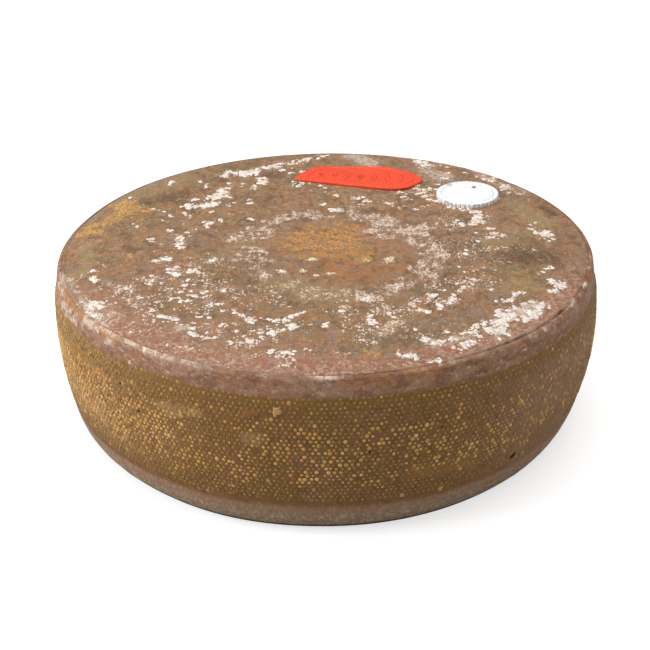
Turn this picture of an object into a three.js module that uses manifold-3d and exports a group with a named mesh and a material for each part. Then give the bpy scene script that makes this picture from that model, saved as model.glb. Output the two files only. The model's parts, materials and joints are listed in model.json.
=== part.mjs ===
// A whole pressed cheese wheel lying on its flat face. The side bulges and is plain at the foot and
// the shoulder, a crease runs under the top edge, and a red plaque and a ribbed white disc are
// pressed into the top face. Millimetres, +Z up, origin in the middle of the flat base.
// Directions are degrees anticlockwise from +X, seen from above.

import * as THREE from 'three';
import { mergeVertices } from 'three/addons/utils/BufferGeometryUtils.js';
import Module from 'manifold-3d';

const wasm = await Module();
wasm.setup();

// ---- Driving sizes -------------------------------------------------------------------------

const WHEEL = {
  radius: 150,
  height: 91.5,
  widestAt: 56, // height at which the side stands out furthest
  bow: 0.0026, // how far the side draws in, per mm of height squared away from there
  segments: 120,
};

const FOOT = {
  roundWidth: 5, // rounding of the bottom edge, inward
  roundHeight: 14, // and upward
  valleyAt: 18, // shallow valley between the plain foot and the net marks
  valleyWidth: 3,
  valleyDepth: 0.45,
};

// The wheel has settled unevenly, so that its lower side draws in more towards some directions.
const DRAWN_IN = {
  below: 60, // height at which it starts
  places: [
    { direction: -35, spread: 56, depth: 4 },
    { direction: -152, spread: 50, depth: 1.7 },
  ],
};

const SHOULDER = {
  from: 75, // the net marks end here, and the side steps in to the plain shoulder
  to: 80,
  step: 0.9,
};

const CREASE = {
  radius: 143.6, // mouth of the crease that the press lid leaves round the top
  width: 1.4,
  depth: 1.1,
  lipDrop: 0.3, // how much lower its outer lip lies than its inner one
  bandWidth: 12, // rounded band between the crease and the level top
  bandDrop: 1.3,
};

// Where the outline of the wheel has its points.
const POINTS = {
  footHeights: [0, 0.8, 2.5, 5.5, 9.5, 13.5, 16, FOOT.valleyAt, 20.5],
  netHeights: [27, 34, 42, 50, 58, 66, 72, SHOULDER.from],
  shoulderHeights: [77.5, SHOULDER.to, 84, 87.5],
  acrossBand: [0, 0.12, 0.35, 0.65, 1],
  topRadii: [124, 117, 110, 102, 94, 86, 78, 68, 57, 45, 30, 15, 0],
};

const TOP = {
  dish: 0.7, // how much lower the middle lies than the rim
  ringHeight: 0.28, // slow rings left by turning and wiping
  ringSpacing: 29,
  waveHeight: 0.3,
};

// Crusts of dried bloom that stand up from the top face, along arcs.
const CRUSTS = [
  { radius: 131, from: -78, to: -22, width: 7, height: 0.5 },
  { radius: 86, from: -160, to: -92, width: 4, height: 0.35 },
  { radius: 100, from: 108, to: 152, width: 6, height: 0.45 },
  { radius: 137, from: 196, to: 232, width: 4, height: 0.5 },
];

// Dents pressed into the top face.
const DENTS = [
  { x: 112, y: -13, radius: 15, depth: 0.6 },
  { x: -62, y: -22, radius: 18, depth: 0.4 },
  { x: 18, y: 58, radius: 16, depth: 0.35 },
];

// Small pits in the side: direction, height, and width, height and depth of the mouth.
const PITS = [
  { direction: -50.4, z: 24.0, width: 5.0, height: 2.8, depth: 2.4 },
  { direction: -68.9, z: 59.0, width: 1.6, height: 1.4, depth: 1.4 },
  { direction: -57.0, z: 55.0, width: 1.4, height: 1.4, depth: 1.2 },
  { direction: -82.5, z: 50.6, width: 1.8, height: 1.3, depth: 1.4 },
  { direction: -134.0, z: 71.6, width: 1.4, height: 2.2, depth: 1.5 },
  { direction: -133.0, z: 67.0, width: 1.6, height: 1.6, depth: 1.5 },
  { direction: -128.4, z: 56.0, width: 1.5, height: 2.0, depth: 1.5 },
  { direction: 62.0, z: 33.0, width: 3.2, height: 2.0, depth: 1.8 },
  { direction: 141.0, z: 61.0, width: 2.0, height: 1.8, depth: 1.5 },
];

// The plaque is an oblong with cut corners, narrower at its left end.
const PLAQUE = {
  corners: [
    [40.6, 1.3],
    [32.6, 12.2],
    [13, 19.8],
    [-30.3, 13.4],
    [-38.8, -2],
    [-38, -10.2],
    [23, -16.8],
    [32.4, -13.2],
  ],
  cornerRound: 6,
  thickness: 2.1,
  x: 21.9,
  y: 96.7,
  turn: -12,
  rimScale: 0.86, // the raised rim line is the outline at these two scales
  rimInnerScale: 0.82,
  reliefHeight: 0.5,
  lozenges: 7,
  lozengeLength: 5.6,
  lozengeSpacing: 8.2,
  lozengeFirstWidth: 9,
  lozengeLastWidth: 17,
};

const DISC = {
  radius: 18.5,
  thickness: 3.1,
  ribs: 42,
  ribDepth: 0.55,
  ringRadius: 15.5, // engraved ring
  ringWidth: 0.5,
  ringDepth: 0.3,
  ringSides: 48,
  dots: 12,
  dotCircle: 11.5,
  dotRadius: 0.7,
  dotHeight: 0.25,
  x: 85.1,
  y: 65.2,
  turn: -18,
};

const SUNK = 0.9; // how deep both labels are pressed below the rim of the top face
const CLEARANCE = 0.3; // between a label and the paste round it
const CORNER_CLEARANCE = 0.5; // the same at the plaque's corners, away from its middle
const SEAT_SEGMENTS = 24; // sides of a seat's round stretches

// ---- Helpers -------------------------------------------------------------------------------

const radians = THREE.MathUtils.degToRad;
const { smoothstep } = THREE.MathUtils;

/** A rise from 0 to 1 and back, of the given half-width about a middle. */
function bump(value, middle, halfWidth) {
  return 1 - smoothstep(Math.abs(value - middle), 0, halfWidth);
}

/** Turns a closed three.js geometry into a solid. */
function toSolid(geometry) {
  const bare = geometry.clone();
  bare.deleteAttribute('normal');
  bare.deleteAttribute('uv');
  const merged = mergeVertices(bare, 1e-4);
  const corners = merged.index.array;
  const triangles = [];
  for (let i = 0; i < corners.length; i += 3) {
    const [a, b, c] = [corners[i], corners[i + 1], corners[i + 2]];
    if (a !== b && b !== c && c !== a) triangles.push(a, b, c);
  }
  const mesh = new wasm.Mesh({
    numProp: 3,
    vertProperties: new Float32Array(merged.attributes.position.array),
    triVerts: new Uint32Array(triangles),
  });
  return new wasm.Manifold(mesh);
}

/** Turns a solid back into a three.js geometry. */
function toGeometry(solid) {
  const mesh = solid.getMesh();
  const geometry = new THREE.BufferGeometry();
  geometry.setAttribute('position', new THREE.BufferAttribute(mesh.vertProperties, 3));
  geometry.setIndex(new THREE.BufferAttribute(mesh.triVerts, 1));
  geometry.computeVertexNormals();
  return geometry;
}

/** A straight prism on an outline, from one height to another. */
function prism(shape, bottom, top, curveSegments = 6) {
  const geometry = new THREE.ExtrudeGeometry(shape, {
    depth: top - bottom,
    bevelEnabled: false,
    curveSegments,
  });
  geometry.translate(0, 0, bottom);
  return toSolid(geometry);
}

// ---- The wheel -----------------------------------------------------------------------------

/** Radius of the side at a height, without its unevenness. */
function sideRadius(z) {
  const bow = WHEEL.bow * (z - WHEEL.widestAt) ** 2;
  const step = SHOULDER.step * smoothstep(z, SHOULDER.from, SHOULDER.to);
  const valley = FOOT.valleyDepth * bump(z, FOOT.valleyAt, FOOT.valleyWidth);
  const below = Math.max(0, 1 - z / FOOT.roundHeight);
  const rounding = FOOT.roundWidth * (1 - Math.sqrt(1 - below * below));
  return WHEEL.radius - bow - step - valley - rounding;
}

/** Outline of the wheel from the middle of the base round to the middle of the top. */
function wheelProfile() {
  const points = [new THREE.Vector2(0, 0)];
  for (const z of [...POINTS.footHeights, ...POINTS.netHeights, ...POINTS.shoulderHeights]) {
    points.push(new THREE.Vector2(sideRadius(z), z));
  }

  const mouth = WHEEL.height - CREASE.bandDrop;
  const [outerLip, innerLip] = [
    CREASE.radius + CREASE.width / 2,
    CREASE.radius - CREASE.width / 2,
  ];
  points.push(new THREE.Vector2(outerLip, mouth - CREASE.lipDrop));
  points.push(new THREE.Vector2(CREASE.radius, mouth - CREASE.depth));
  for (const across of POINTS.acrossBand) {
    const drop = CREASE.bandDrop * (1 - across) ** 2;
    points.push(new THREE.Vector2(innerLip - CREASE.bandWidth * across, WHEEL.height - drop));
  }

  for (const radius of POINTS.topRadii) points.push(new THREE.Vector2(radius, WHEEL.height));
  return points;
}

/** How far the lower side draws in at a place. */
function drawnIn(direction, z) {
  const low = Math.max(0, 1 - z / DRAWN_IN.below) ** 1.5;
  const depths = DRAWN_IN.places.map((place) => {
    const off = direction - radians(place.direction);
    const away = Math.atan2(Math.sin(off), Math.cos(off));
    return place.depth * bump(away, 0, radians(place.spread));
  });
  return low * depths.reduce((sum, depth) => sum + depth, 0);
}

/** How far the side stands out of true at a place: a slightly oval, uneven hoop. */
function sideUnevenness(direction, z) {
  const oval = 0.45 * Math.cos(2 * direction + 0.7);
  const flats = 0.22 * Math.cos(4 * direction - 1.9) + 0.14 * Math.cos(10 * direction + 0.4);
  const lean = 0.2 * Math.sin(6 * direction + z / 14);
  return oval + flats + lean - drawnIn(direction, z);
}

/** Depth of the dents at a place on the top face. */
function dentDepth(x, y) {
  const depths = DENTS.map((dent) => {
    return dent.depth * bump(Math.hypot(x - dent.x, y - dent.y), 0, dent.radius);
  });
  return Math.max(...depths);
}

/** Height of the crusts at a place on the top face: lumpy, and fading at both ends of an arc. */
function crustHeight(radius, direction) {
  const lumps = 0.7 + 0.3 * Math.sin(direction * 23) * Math.sin(radius / 2.7);
  const heights = CRUSTS.map((crust) => {
    const half = (crust.to - crust.from) / 2;
    const off = direction - radians(crust.from + half);
    const turned = Math.atan2(Math.sin(off), Math.cos(off));
    const along = 1 - smoothstep(Math.abs(turned) / radians(half), 0.75, 1);
    return crust.height * along * bump(radius, crust.radius, crust.width);
  });
  return lumps * Math.max(...heights);
}

/** How far the top face lies below its rim at a place. */
function topRelief(x, y) {
  const radius = Math.hypot(x, y);
  const dish = TOP.dish * (1 - smoothstep(radius, 20, 120));
  const rings = TOP.ringHeight * (0.5 + 0.5 * Math.cos((2 * Math.PI * radius) / TOP.ringSpacing));
  const slope = Math.sin(x / 19 + y / 43) + Math.sin(y / 15 - x / 52) + Math.sin((x - y) / 27);
  const waves = TOP.waveHeight * (0.5 + slope / 6);
  const crust = crustHeight(radius, Math.atan2(y, x));
  return Math.max(0, dish + rings + waves + dentDepth(x, y) - crust);
}

/** How much of the side's unevenness a point takes: all on the side, and less inwards. */
function shareOfUnevenness(radius, z) {
  if (z < WHEEL.height / 2) return smoothstep(radius, 60, 120);
  return smoothstep(radius, CREASE.radius - CREASE.bandWidth, CREASE.radius);
}

/** Moves every point of the turned wheel by the unevenness of its side or its top face. */
function unsettle(geometry) {
  const position = geometry.attributes.position;
  const level = WHEEL.height - CREASE.bandDrop;
  for (let i = 0; i < position.count; i++) {
    const [x, y, z] = [position.getX(i), position.getY(i), position.getZ(i)];
    const radius = Math.max(Math.hypot(x, y), 1e-9);
    const share = shareOfUnevenness(radius, z);
    const scale = 1 + (share * sideUnevenness(Math.atan2(y, x), z)) / radius;
    const sunk = smoothstep(z, level, WHEEL.height - 0.2) * topRelief(x, y);
    position.setXYZ(i, x * scale, y * scale, z - sunk);
  }
  return geometry;
}

/** One pit, as the solid to take out of the side. */
function pitSolid(pit) {
  const direction = radians(pit.direction);
  const surface = sideRadius(pit.z) + sideUnevenness(direction, pit.z);
  const geometry = new THREE.IcosahedronGeometry(1, 1);
  geometry.scale(pit.depth, pit.width / 2, pit.height / 2);
  geometry.rotateZ(direction);
  geometry.translate(Math.cos(direction) * surface, Math.sin(direction) * surface, pit.z);
  return toSolid(geometry);
}

function wheelSolid(seats) {
  const turned = new THREE.LatheGeometry(wheelProfile(), WHEEL.segments);
  turned.rotateX(Math.PI / 2);
  let solid = toSolid(unsettle(turned));
  for (const pit of PITS) solid = solid.subtract(pitSolid(pit));
  for (const seat of seats) solid = solid.subtract(seat);
  return solid;
}

// ---- The red plaque ------------------------------------------------------------------------

/** Outline of the plaque with rounded corners, at a scale and grown outward by a margin. */
function plaqueOutline(scale, margin = 0) {
  const corners = PLAQUE.corners.map(([x, y]) => {
    const corner = new THREE.Vector2(x, y).multiplyScalar(scale);
    return corner.setLength(corner.length() + margin);
  });
  const shape = new THREE.Shape();
  corners.forEach((corner, i) => {
    const before = corners[(i + corners.length - 1) % corners.length];
    const after = corners[(i + 1) % corners.length];
    const [back, ahead] = [corner.distanceTo(before), corner.distanceTo(after)];
    const round = Math.min(PLAQUE.cornerRound, back / 2.2, ahead / 2.2);
    const into = corner.clone().lerp(before, round / back);
    const out = corner.clone().lerp(after, round / ahead);
    if (i === 0) shape.moveTo(into.x, into.y);
    else shape.lineTo(into.x, into.y);
    shape.quadraticCurveTo(corner.x, corner.y, out.x, out.y);
  });
  shape.closePath();
  return shape;
}

/** One plain lozenge of the relief, numbered from the left end. */
function lozenge(number) {
  const { lozenges, lozengeLength, lozengeSpacing, lozengeFirstWidth, lozengeLastWidth } = PLAQUE;
  const middle = (number - (lozenges - 1) / 2) * lozengeSpacing;
  const width = THREE.MathUtils.lerp(lozengeFirstWidth, lozengeLastWidth, number / (lozenges - 1));
  const shape = new THREE.Shape();
  shape.moveTo(middle + lozengeLength / 2, 0);
  shape.lineTo(middle, width / 2);
  shape.lineTo(middle - lozengeLength / 2, 0);
  shape.lineTo(middle, -width / 2);
  shape.closePath();
  return shape;
}

function plaqueSolid() {
  const plate = PLAQUE.thickness - PLAQUE.reliefHeight;
  const root = plate - 0.2;
  const rim = prism(plaqueOutline(PLAQUE.rimScale), root, PLAQUE.thickness);
  const inside = prism(plaqueOutline(PLAQUE.rimInnerScale), root - 1, PLAQUE.thickness + 1);
  let solid = prism(plaqueOutline(1), 0, plate).add(rim.subtract(inside));
  for (let number = 0; number < PLAQUE.lozenges; number++) {
    solid = solid.add(prism(lozenge(number), root, PLAQUE.thickness));
  }
  return solid;
}

// ---- The white disc ------------------------------------------------------------------------

/** Round outline with a rib every few millimetres, grown outward by a margin. */
function discOutline(margin) {
  const points = [];
  const perRib = [
    { at: 0, inset: 0 },
    { at: 0.5, inset: 0 },
    { at: 0.66, inset: DISC.ribDepth },
    { at: 0.84, inset: DISC.ribDepth },
  ];
  for (let rib = 0; rib < DISC.ribs; rib++) {
    for (const { at, inset } of perRib) {
      const angle = ((rib + at) / DISC.ribs) * 2 * Math.PI;
      const radius = DISC.radius - inset + margin;
      points.push(new THREE.Vector2(Math.cos(angle) * radius, Math.sin(angle) * radius));
    }
  }
  return new THREE.Shape(points);
}

/** Plain round outline. */
function circle(radius, x = 0, y = 0) {
  return new THREE.Shape().absarc(x, y, radius, 0, 2 * Math.PI, false);
}

/** The engraved ring, as the solid to take out of the disc. */
function engravedRing() {
  const floor = DISC.thickness - DISC.ringDepth;
  const half = DISC.ringWidth / 2;
  const section = [
    new THREE.Vector2(DISC.ringRadius - half, floor),
    new THREE.Vector2(DISC.ringRadius + half, floor),
    new THREE.Vector2(DISC.ringRadius + half, floor + 1),
    new THREE.Vector2(DISC.ringRadius - half, floor + 1),
    new THREE.Vector2(DISC.ringRadius - half, floor),
  ];
  const ring = new THREE.LatheGeometry(section, DISC.ringSides);
  ring.rotateX(Math.PI / 2);
  return toSolid(ring);
}

function discSolid() {
  let solid = prism(discOutline(0), 0, DISC.thickness).subtract(engravedRing());
  for (let i = 0; i < DISC.dots; i++) {
    const angle = (i / DISC.dots) * 2 * Math.PI;
    const [x, y] = [Math.cos(angle) * DISC.dotCircle, Math.sin(angle) * DISC.dotCircle];
    const outline = circle(DISC.dotRadius, x, y);
    solid = solid.add(prism(outline, DISC.thickness - 0.2, DISC.thickness + DISC.dotHeight));
  }
  return solid;
}

// ---- The object ----------------------------------------------------------------------------

const labelBase = WHEEL.height - SUNK;

/** The hollow that a label sits in, as the solid to take out of the wheel. */
function seat(outline, label) {
  return prism(outline, labelBase - CLEARANCE, WHEEL.height + 5, SEAT_SEGMENTS)
    .rotate([0, 0, label.turn])
    .translate([label.x, label.y, 0]);
}

function paint(name, color, roughness) {
  return new THREE.MeshStandardMaterial({ name, color, roughness, metalness: 0 });
}

function addPiece(parent, name, solid, material) {
  const mesh = new THREE.Mesh(toGeometry(solid), material);
  mesh.name = name;
  parent.add(mesh);
}

/** Puts a label, which is drawn about its own middle, on its place on the top face. */
function addLabel(parent, name, solid, material, label) {
  const place = new THREE.Group();
  place.position.set(label.x, label.y, labelBase);
  place.rotation.z = radians(label.turn);
  addPiece(place, name, solid, material);
  parent.add(place);
}

const object = new THREE.Group();
object.name = 'cheese_wheel_with_labels';

const seats = [
  seat(plaqueOutline(1, CORNER_CLEARANCE), PLAQUE),
  seat(circle(DISC.radius + CLEARANCE), DISC),
];
addPiece(object, 'cheese_wheel', wheelSolid(seats), paint('rind', 0x7a5a3c, 0.62));
addLabel(object, 'red_plaque', plaqueSolid(), paint('red_casein', 0xf24a30, 0.42), PLAQUE);
addLabel(object, 'white_disc', discSolid(), paint('white_casein', 0xeef4f8, 0.45), DISC);

export default object;
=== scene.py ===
"""A whole pressed cheese wheel with a net-marked side, a red plaque and a ribbed white disc.

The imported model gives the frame. Every piece below is built around it in metres, at the origin,
with its place in its mesh. Sizes are named in millimetres and directions are degrees
anticlockwise from +X, seen from above, so that -90 faces the camera.
"""

from __future__ import annotations

import itertools
import json
import logging
import math
from dataclasses import dataclass, field, replace
from enum import Enum
from functools import partial, reduce
from typing import Iterable, Sequence, Union

import bpy
import bmesh
import numpy as np
from mathutils import Matrix, Vector

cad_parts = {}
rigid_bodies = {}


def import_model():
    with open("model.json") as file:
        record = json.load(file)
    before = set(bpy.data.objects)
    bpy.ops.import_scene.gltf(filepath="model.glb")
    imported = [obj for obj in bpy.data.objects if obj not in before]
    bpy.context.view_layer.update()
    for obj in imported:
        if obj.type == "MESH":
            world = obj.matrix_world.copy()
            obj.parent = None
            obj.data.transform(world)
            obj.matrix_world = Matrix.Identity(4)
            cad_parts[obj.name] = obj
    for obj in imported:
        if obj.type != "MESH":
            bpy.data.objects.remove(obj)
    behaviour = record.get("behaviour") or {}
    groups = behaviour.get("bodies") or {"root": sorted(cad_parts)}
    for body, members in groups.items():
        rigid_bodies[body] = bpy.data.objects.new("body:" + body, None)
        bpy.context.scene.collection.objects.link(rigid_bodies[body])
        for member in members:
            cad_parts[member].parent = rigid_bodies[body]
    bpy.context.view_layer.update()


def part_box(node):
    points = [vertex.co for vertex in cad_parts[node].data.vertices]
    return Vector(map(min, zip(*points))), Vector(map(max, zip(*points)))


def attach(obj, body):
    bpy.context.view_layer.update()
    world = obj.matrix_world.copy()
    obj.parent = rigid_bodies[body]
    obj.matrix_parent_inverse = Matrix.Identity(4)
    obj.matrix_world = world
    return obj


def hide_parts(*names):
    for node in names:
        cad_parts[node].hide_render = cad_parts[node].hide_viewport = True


LOG = logging.getLogger("cheese_wheel")

MM = 0.001  # one millimetre, in the frame's metres
BODY = "root"

Colour = tuple[float, float, float, float]
Socket = bpy.types.NodeSocket
Wire = Union[bpy.types.NodeSocket, float, Sequence[float]]
Faces = list[tuple[int, ...]]
Point = tuple[float, float]
Array = np.ndarray

WHITE: Colour = (1.0, 1.0, 1.0, 1.0)


# ---- Numbers, noise and masks --------------------------------------------------------------


def srgb(red: float, green: float, blue: float) -> Colour:
    """A colour named by its display values from 0 to 255, as the linear values that shaders use."""

    def linear(value: float) -> float:
        """One display value as a linear one."""
        share = value / 255
        return share / 12.92 if share <= 0.04045 else ((share + 0.055) / 1.055) ** 2.4

    return (linear(red), linear(green), linear(blue), 1.0)


def ease(value: Array, low: float, high: float) -> Array:
    """A smooth rise from 0 at one value to 1 at another."""
    share = np.clip((value - low) / (high - low), 0, 1)
    return share * share * (3 - 2 * share)


def hump(value: Array, middle: float, half_width: float) -> Array:
    """A smooth rise to 1 at the middle and back to 0, of the given half-width."""
    return 1 - ease(np.abs(value - middle), 0, half_width)


def between(value: Array, low: float, high: float, soft: float) -> Array:
    """1 between two values and 0 outside them, with soft ends."""
    return ease(value, low - soft, low + soft) * (1 - ease(value, high - soft, high + soft))


def arc(direction: Array, start: float, end: float, soft: float) -> Array:
    """1 between two directions and 0 elsewhere, with soft ends.

    Args:
        direction: Directions, in radians.
        start: Where the stretch starts, in degrees.
        end: Where it ends, in degrees, anticlockwise of its start.
        soft: Half the width of each soft end, in degrees.

    Returns:
        One value per direction.
    """
    half = math.radians(end - start) / 2
    off = direction - math.radians(start) - half
    away = np.abs(np.arctan2(np.sin(off), np.cos(off)))
    margin = math.radians(soft)
    return 1 - ease(away, half - margin, half + margin)


def any_of(masks: Iterable[Array]) -> Array:
    """Joins masks so that overlapping ones add up without passing 1."""
    clear: Array | float = 1.0
    for mask in masks:
        clear = clear * (1 - np.clip(mask, 0, 1))
    return 1 - np.asarray(clear)


def lattice_noise(places: Array, size: float, seed: int) -> Array:
    """Smooth noise from -1 to 1.

    Args:
        places: One place per row, in millimetres.
        size: Width of one bump, in millimetres.
        seed: Which pattern to draw.

    Returns:
        One value per place.
    """
    scaled = places / size
    cell = np.floor(scaled).astype(np.int64)
    share = scaled - cell
    weight = share * share * (3 - 2 * share)
    steps = np.array([374761393, 668265263, 2147483647], dtype=np.int64)
    total = np.zeros(len(places))
    for corner in itertools.product((0, 1), repeat=3):
        code = (cell + corner) @ steps + seed * 144665
        code = ((code ^ (code >> 13)) * 1274126177) & 0x7FFFFFFF
        code = (code ^ (code >> 11)) & 0xFFFF
        near = np.where(np.array(corner) == 1, weight, 1 - weight).prod(axis=1)
        total += near * (code / 32767.5 - 1)
    return total


def rough_noise(places: Array, size: float, seed: int, layers: int = 3) -> Array:
    """Noise with finer and fainter bumps on each bump, from about -1 to 1."""
    total = np.zeros(len(places))
    reach = 0.0
    for layer in range(layers):
        share = 0.55**layer
        total += share * lattice_noise(places, size / 2**layer, seed + 17 * layer)
        reach += share
    return total / reach


def line_distance(places: Array, line: Sequence[Point]) -> Array:
    """Distance of flat places from a line of straight stretches, or from its only point."""
    points = np.array(line, dtype=float)
    if len(points) == 1:
        return np.hypot(*(places - points[0]).T)
    nearest = np.full(len(places), np.inf)
    for start, end in zip(points[:-1], points[1:]):
        along = end - start
        share = np.clip(((places - start) @ along) / (along @ along), 0, 1)
        foot = start + share[:, None] * along
        nearest = np.minimum(nearest, np.hypot(*(places - foot).T))
    return nearest


def inside_outline(places: Array, outline: Array) -> Array:
    """How far flat places lie inside a closed outline, negative outside it."""
    closed = np.vstack([outline, outline[:1]])
    away = line_distance(places, [tuple(point) for point in closed])
    within = np.zeros(len(places), dtype=bool)
    for (x0, y0), (x1, y1) in zip(closed[:-1], closed[1:]):
        crosses = (y0 > places[:, 1]) != (y1 > places[:, 1])
        rise = (y1 - y0) if y1 != y0 else 1e-12
        meets = (x1 - x0) * (places[:, 1] - y0) / rise + x0
        within ^= crosses & (places[:, 0] < meets)
    return np.where(within, away, -away)


# ---- Node trees ----------------------------------------------------------------------------


class Wires:
    """Adds and joins the nodes of one tree."""

    def __init__(self, tree: bpy.types.NodeTree) -> None:
        """Starts on a tree, which may already hold nodes."""
        self.tree = tree

    def node(self, kind: str, **given: object) -> bpy.types.Node:
        """Adds a node, sets its properties and feeds its inputs.

        Args:
            kind: The node's type.
            **given: Values by name. An input's name starts with a capital letter and has _ for
                each space; the others are properties.

        Returns:
            The new node.
        """
        made = self.tree.nodes.new(kind)
        for name, value in given.items():
            if name[0].isupper():
                self.feed(made.inputs[name.replace("_", " ")], value)
            else:
                setattr(made, name, value)
        return made

    def feed(self, socket: Socket, value: Wire) -> None:
        """Joins a socket to another one, or sets its plain value."""
        if isinstance(value, bpy.types.NodeSocket):
            self.tree.links.new(value, socket)
        else:
            socket.default_value = value

    def fed(self, kind: str, values: Iterable[Wire], **settings: object) -> Socket:
        """Adds a node, feeds its inputs in their order and gives its first output."""
        made = self.node(kind, **settings)
        for socket, value in zip(made.inputs, values):
            self.feed(socket, value)
        return made.outputs[0]

    def math(self, operation: str, first: Wire, second: Wire = 0.0, third: Wire = 0.0) -> Socket:
        """A Math node's result."""
        return self.fed("ShaderNodeMath", (first, second, third), operation=operation)

    def product(self, *factors: Wire) -> Socket:
        """Several values multiplied."""
        return reduce(partial(self.math, "MULTIPLY"), factors)

    def total(self, *terms: Wire) -> Socket:
        """Several values added."""
        return reduce(partial(self.math, "ADD"), terms)

    def rise(self, value: Wire, low: Wire, high: Wire, start: Wire = 0.0, end: Wire = 1.0) -> Socket:
        """A smooth change from one result to another as a value goes from low to high."""
        values = (value, low, high, start, end)
        return self.fed("ShaderNodeMapRange", values, interpolation_type="SMOOTHSTEP")

    def texture(self, kind: str, place: Wire, size: Wire, **settings: object) -> bpy.types.Node:
        """A texture node read at a place, with bumps or cells of a size in the place's units."""
        scale = self.math("DIVIDE", 1.0, size) if isinstance(size, bpy.types.NodeSocket) else 1 / size
        return self.node("ShaderNodeTex" + kind, **settings, Vector=place, Scale=scale)

    def noise(self, place: Wire, size: Wire, detail: float = 2.0, rough: float = 0.55) -> Socket:
        """A Noise Texture's value from 0 to 1."""
        settings = {"noise_dimensions": "3D", "Detail": detail, "Roughness": rough}
        return self.texture("Noise", place, size, **settings).outputs[0]

    def cells(self, place: Wire, size: float) -> tuple[Socket, Socket]:
        """Cells of a size seen from above: distance from the nearest middle, and each cell's luck."""
        made = self.texture("Voronoi", place, size, voronoi_dimensions="2D", feature="F1")
        return made.outputs["Distance"], self.fed("ShaderNodeSeparateXYZ", [made.outputs["Color"]])

    def edges(self, place: Wire, size: float) -> Socket:
        """Distance from the nearest border between cells of a size, as a share of that size."""
        settings = {"voronoi_dimensions": "2D", "feature": "DISTANCE_TO_EDGE"}
        return self.texture("Voronoi", place, size, **settings).outputs["Distance"]

    def pushed(self, place: Wire, reach: float, size: float) -> Socket:
        """A place pushed about by noise, so that what is drawn on it gets frayed edges."""
        drift = self.texture("Noise", place, size, noise_dimensions="3D").outputs["Color"]
        return self.fed("ShaderNodeVectorMath", (drift, [reach] * 3, place), operation="MULTIPLY_ADD")

    def stretched(self, place: Socket, x: float, y: float, z: float) -> Socket:
        """A place with each axis scaled on its own, for grain that runs one way."""
        return self.fed("ShaderNodeVectorMath", (place, (x, y, z)), operation="MULTIPLY")

    def crumbs(self, place: Wire, density: Wire) -> tuple[Socket, Socket]:
        """Separate lobed crumbs of three sizes, more and larger where the density is higher.

        Args:
            place: Places in millimetres, read from above.
            density: From 0, where there are none, to 1, where they nearly touch.

        Returns:
            Where the crumbs lie, and how thick they are from 0 to 1.
        """
        tall = self.stretched(place, 1.0, 0.74, 1.0)
        frayed = self.pushed(tall, 0.8, 1.1)
        fray = self.product(self.math("SUBTRACT", self.noise(tall, 0.7, 3.0, 0.65), 0.5), 0.8)
        mask: Wire = 0.0
        thickness: Wire = 0.0
        for size, share in ((2.6, 0.72), (1.6, 0.9), (1.0, 0.85)):
            away, luck = self.cells(frayed, size)
            spare = self.math("SUBTRACT", self.product(density, share), luck)
            reach = self.total(self.rise(spare, 0.0, 0.5, 0.06, 0.66), self.rise(spare, 0.0, 0.02, -1.0, 0.0))
            inside = self.total(self.math("SUBTRACT", reach, away), fray)
            mask = self.math("MAXIMUM", mask, self.rise(inside, 0.0, 0.12))
            dome = self.rise(inside, 0.0, 0.36, 0.0, 0.35 + 0.25 * size)
            thickness = self.math("MAXIMUM", thickness, dome)
        return mask, thickness

    def group(self, tree: bpy.types.NodeTree, **values: Wire) -> bpy.types.Node:
        """Places a shader group and feeds its inputs."""
        return self.node("ShaderNodeGroup", node_tree=tree, **values)


class Paint(Wires):
    """The nodes of one material, with what every finish here needs."""

    def __init__(self, name: str) -> None:
        """Makes an empty material with a Principled shader."""
        self.material = bpy.data.materials.new(name)
        self.material.use_nodes = True
        super().__init__(self.material.node_tree)
        self.shader = self.tree.nodes["Principled BSDF"]

    def place(self) -> Socket:
        """Object coordinates, in millimetres."""
        return self.stretched(self.node("ShaderNodeTexCoord").outputs["Object"], *[1 / MM] * 3)

    def attribute(self, name: str) -> Socket:
        """A value that the mesh carries at its points."""
        return self.node("ShaderNodeAttribute", attribute_name=name).outputs["Fac"]

    def tinted(self, colour: Wire, tone: Wire, name: str, *shares: Wire) -> Socket:
        """A colour mixed with another by a value that the mesh carries, times any shares."""
        return self.mix(self.product(self.attribute(name), *shares), colour, tone)

    def mix(self, share: Wire, first: Wire, second: Wire, blend: str = "MIX") -> Socket:
        """Two colours mixed by a share."""
        made = self.node("ShaderNodeMix", data_type="RGBA", blend_type=blend)
        self.feed(made.inputs[0], share)
        self.feed(made.inputs[6], first)
        self.feed(made.inputs[7], second)
        return made.outputs[2]

    def bump(self, height: Wire, strength: float = 1.0) -> None:
        """Gives the shader a relief, from a height in millimetres."""
        made = self.node("ShaderNodeBump", Strength=strength, Distance=MM, Height=height)
        self.feed(self.shader.inputs["Normal"], made.outputs[0])

    def finish(self, colour: Wire, roughness: Wire, **others: Wire) -> bpy.types.Material:
        """Feeds the shader's colour, roughness and other sockets, and gives the material.

        Args:
            colour: What feeds Base Color.
            roughness: What feeds Roughness.
            **others: What feeds other sockets, with _ for each space of their names.

        Returns:
            The finished material.
        """
        self.feed(self.shader.inputs["Base Color"], colour)
        self.feed(self.shader.inputs["Roughness"], roughness)
        for name, value in others.items():
            self.feed(self.shader.inputs[name.replace("_", " ")], value)
        return self.material


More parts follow.
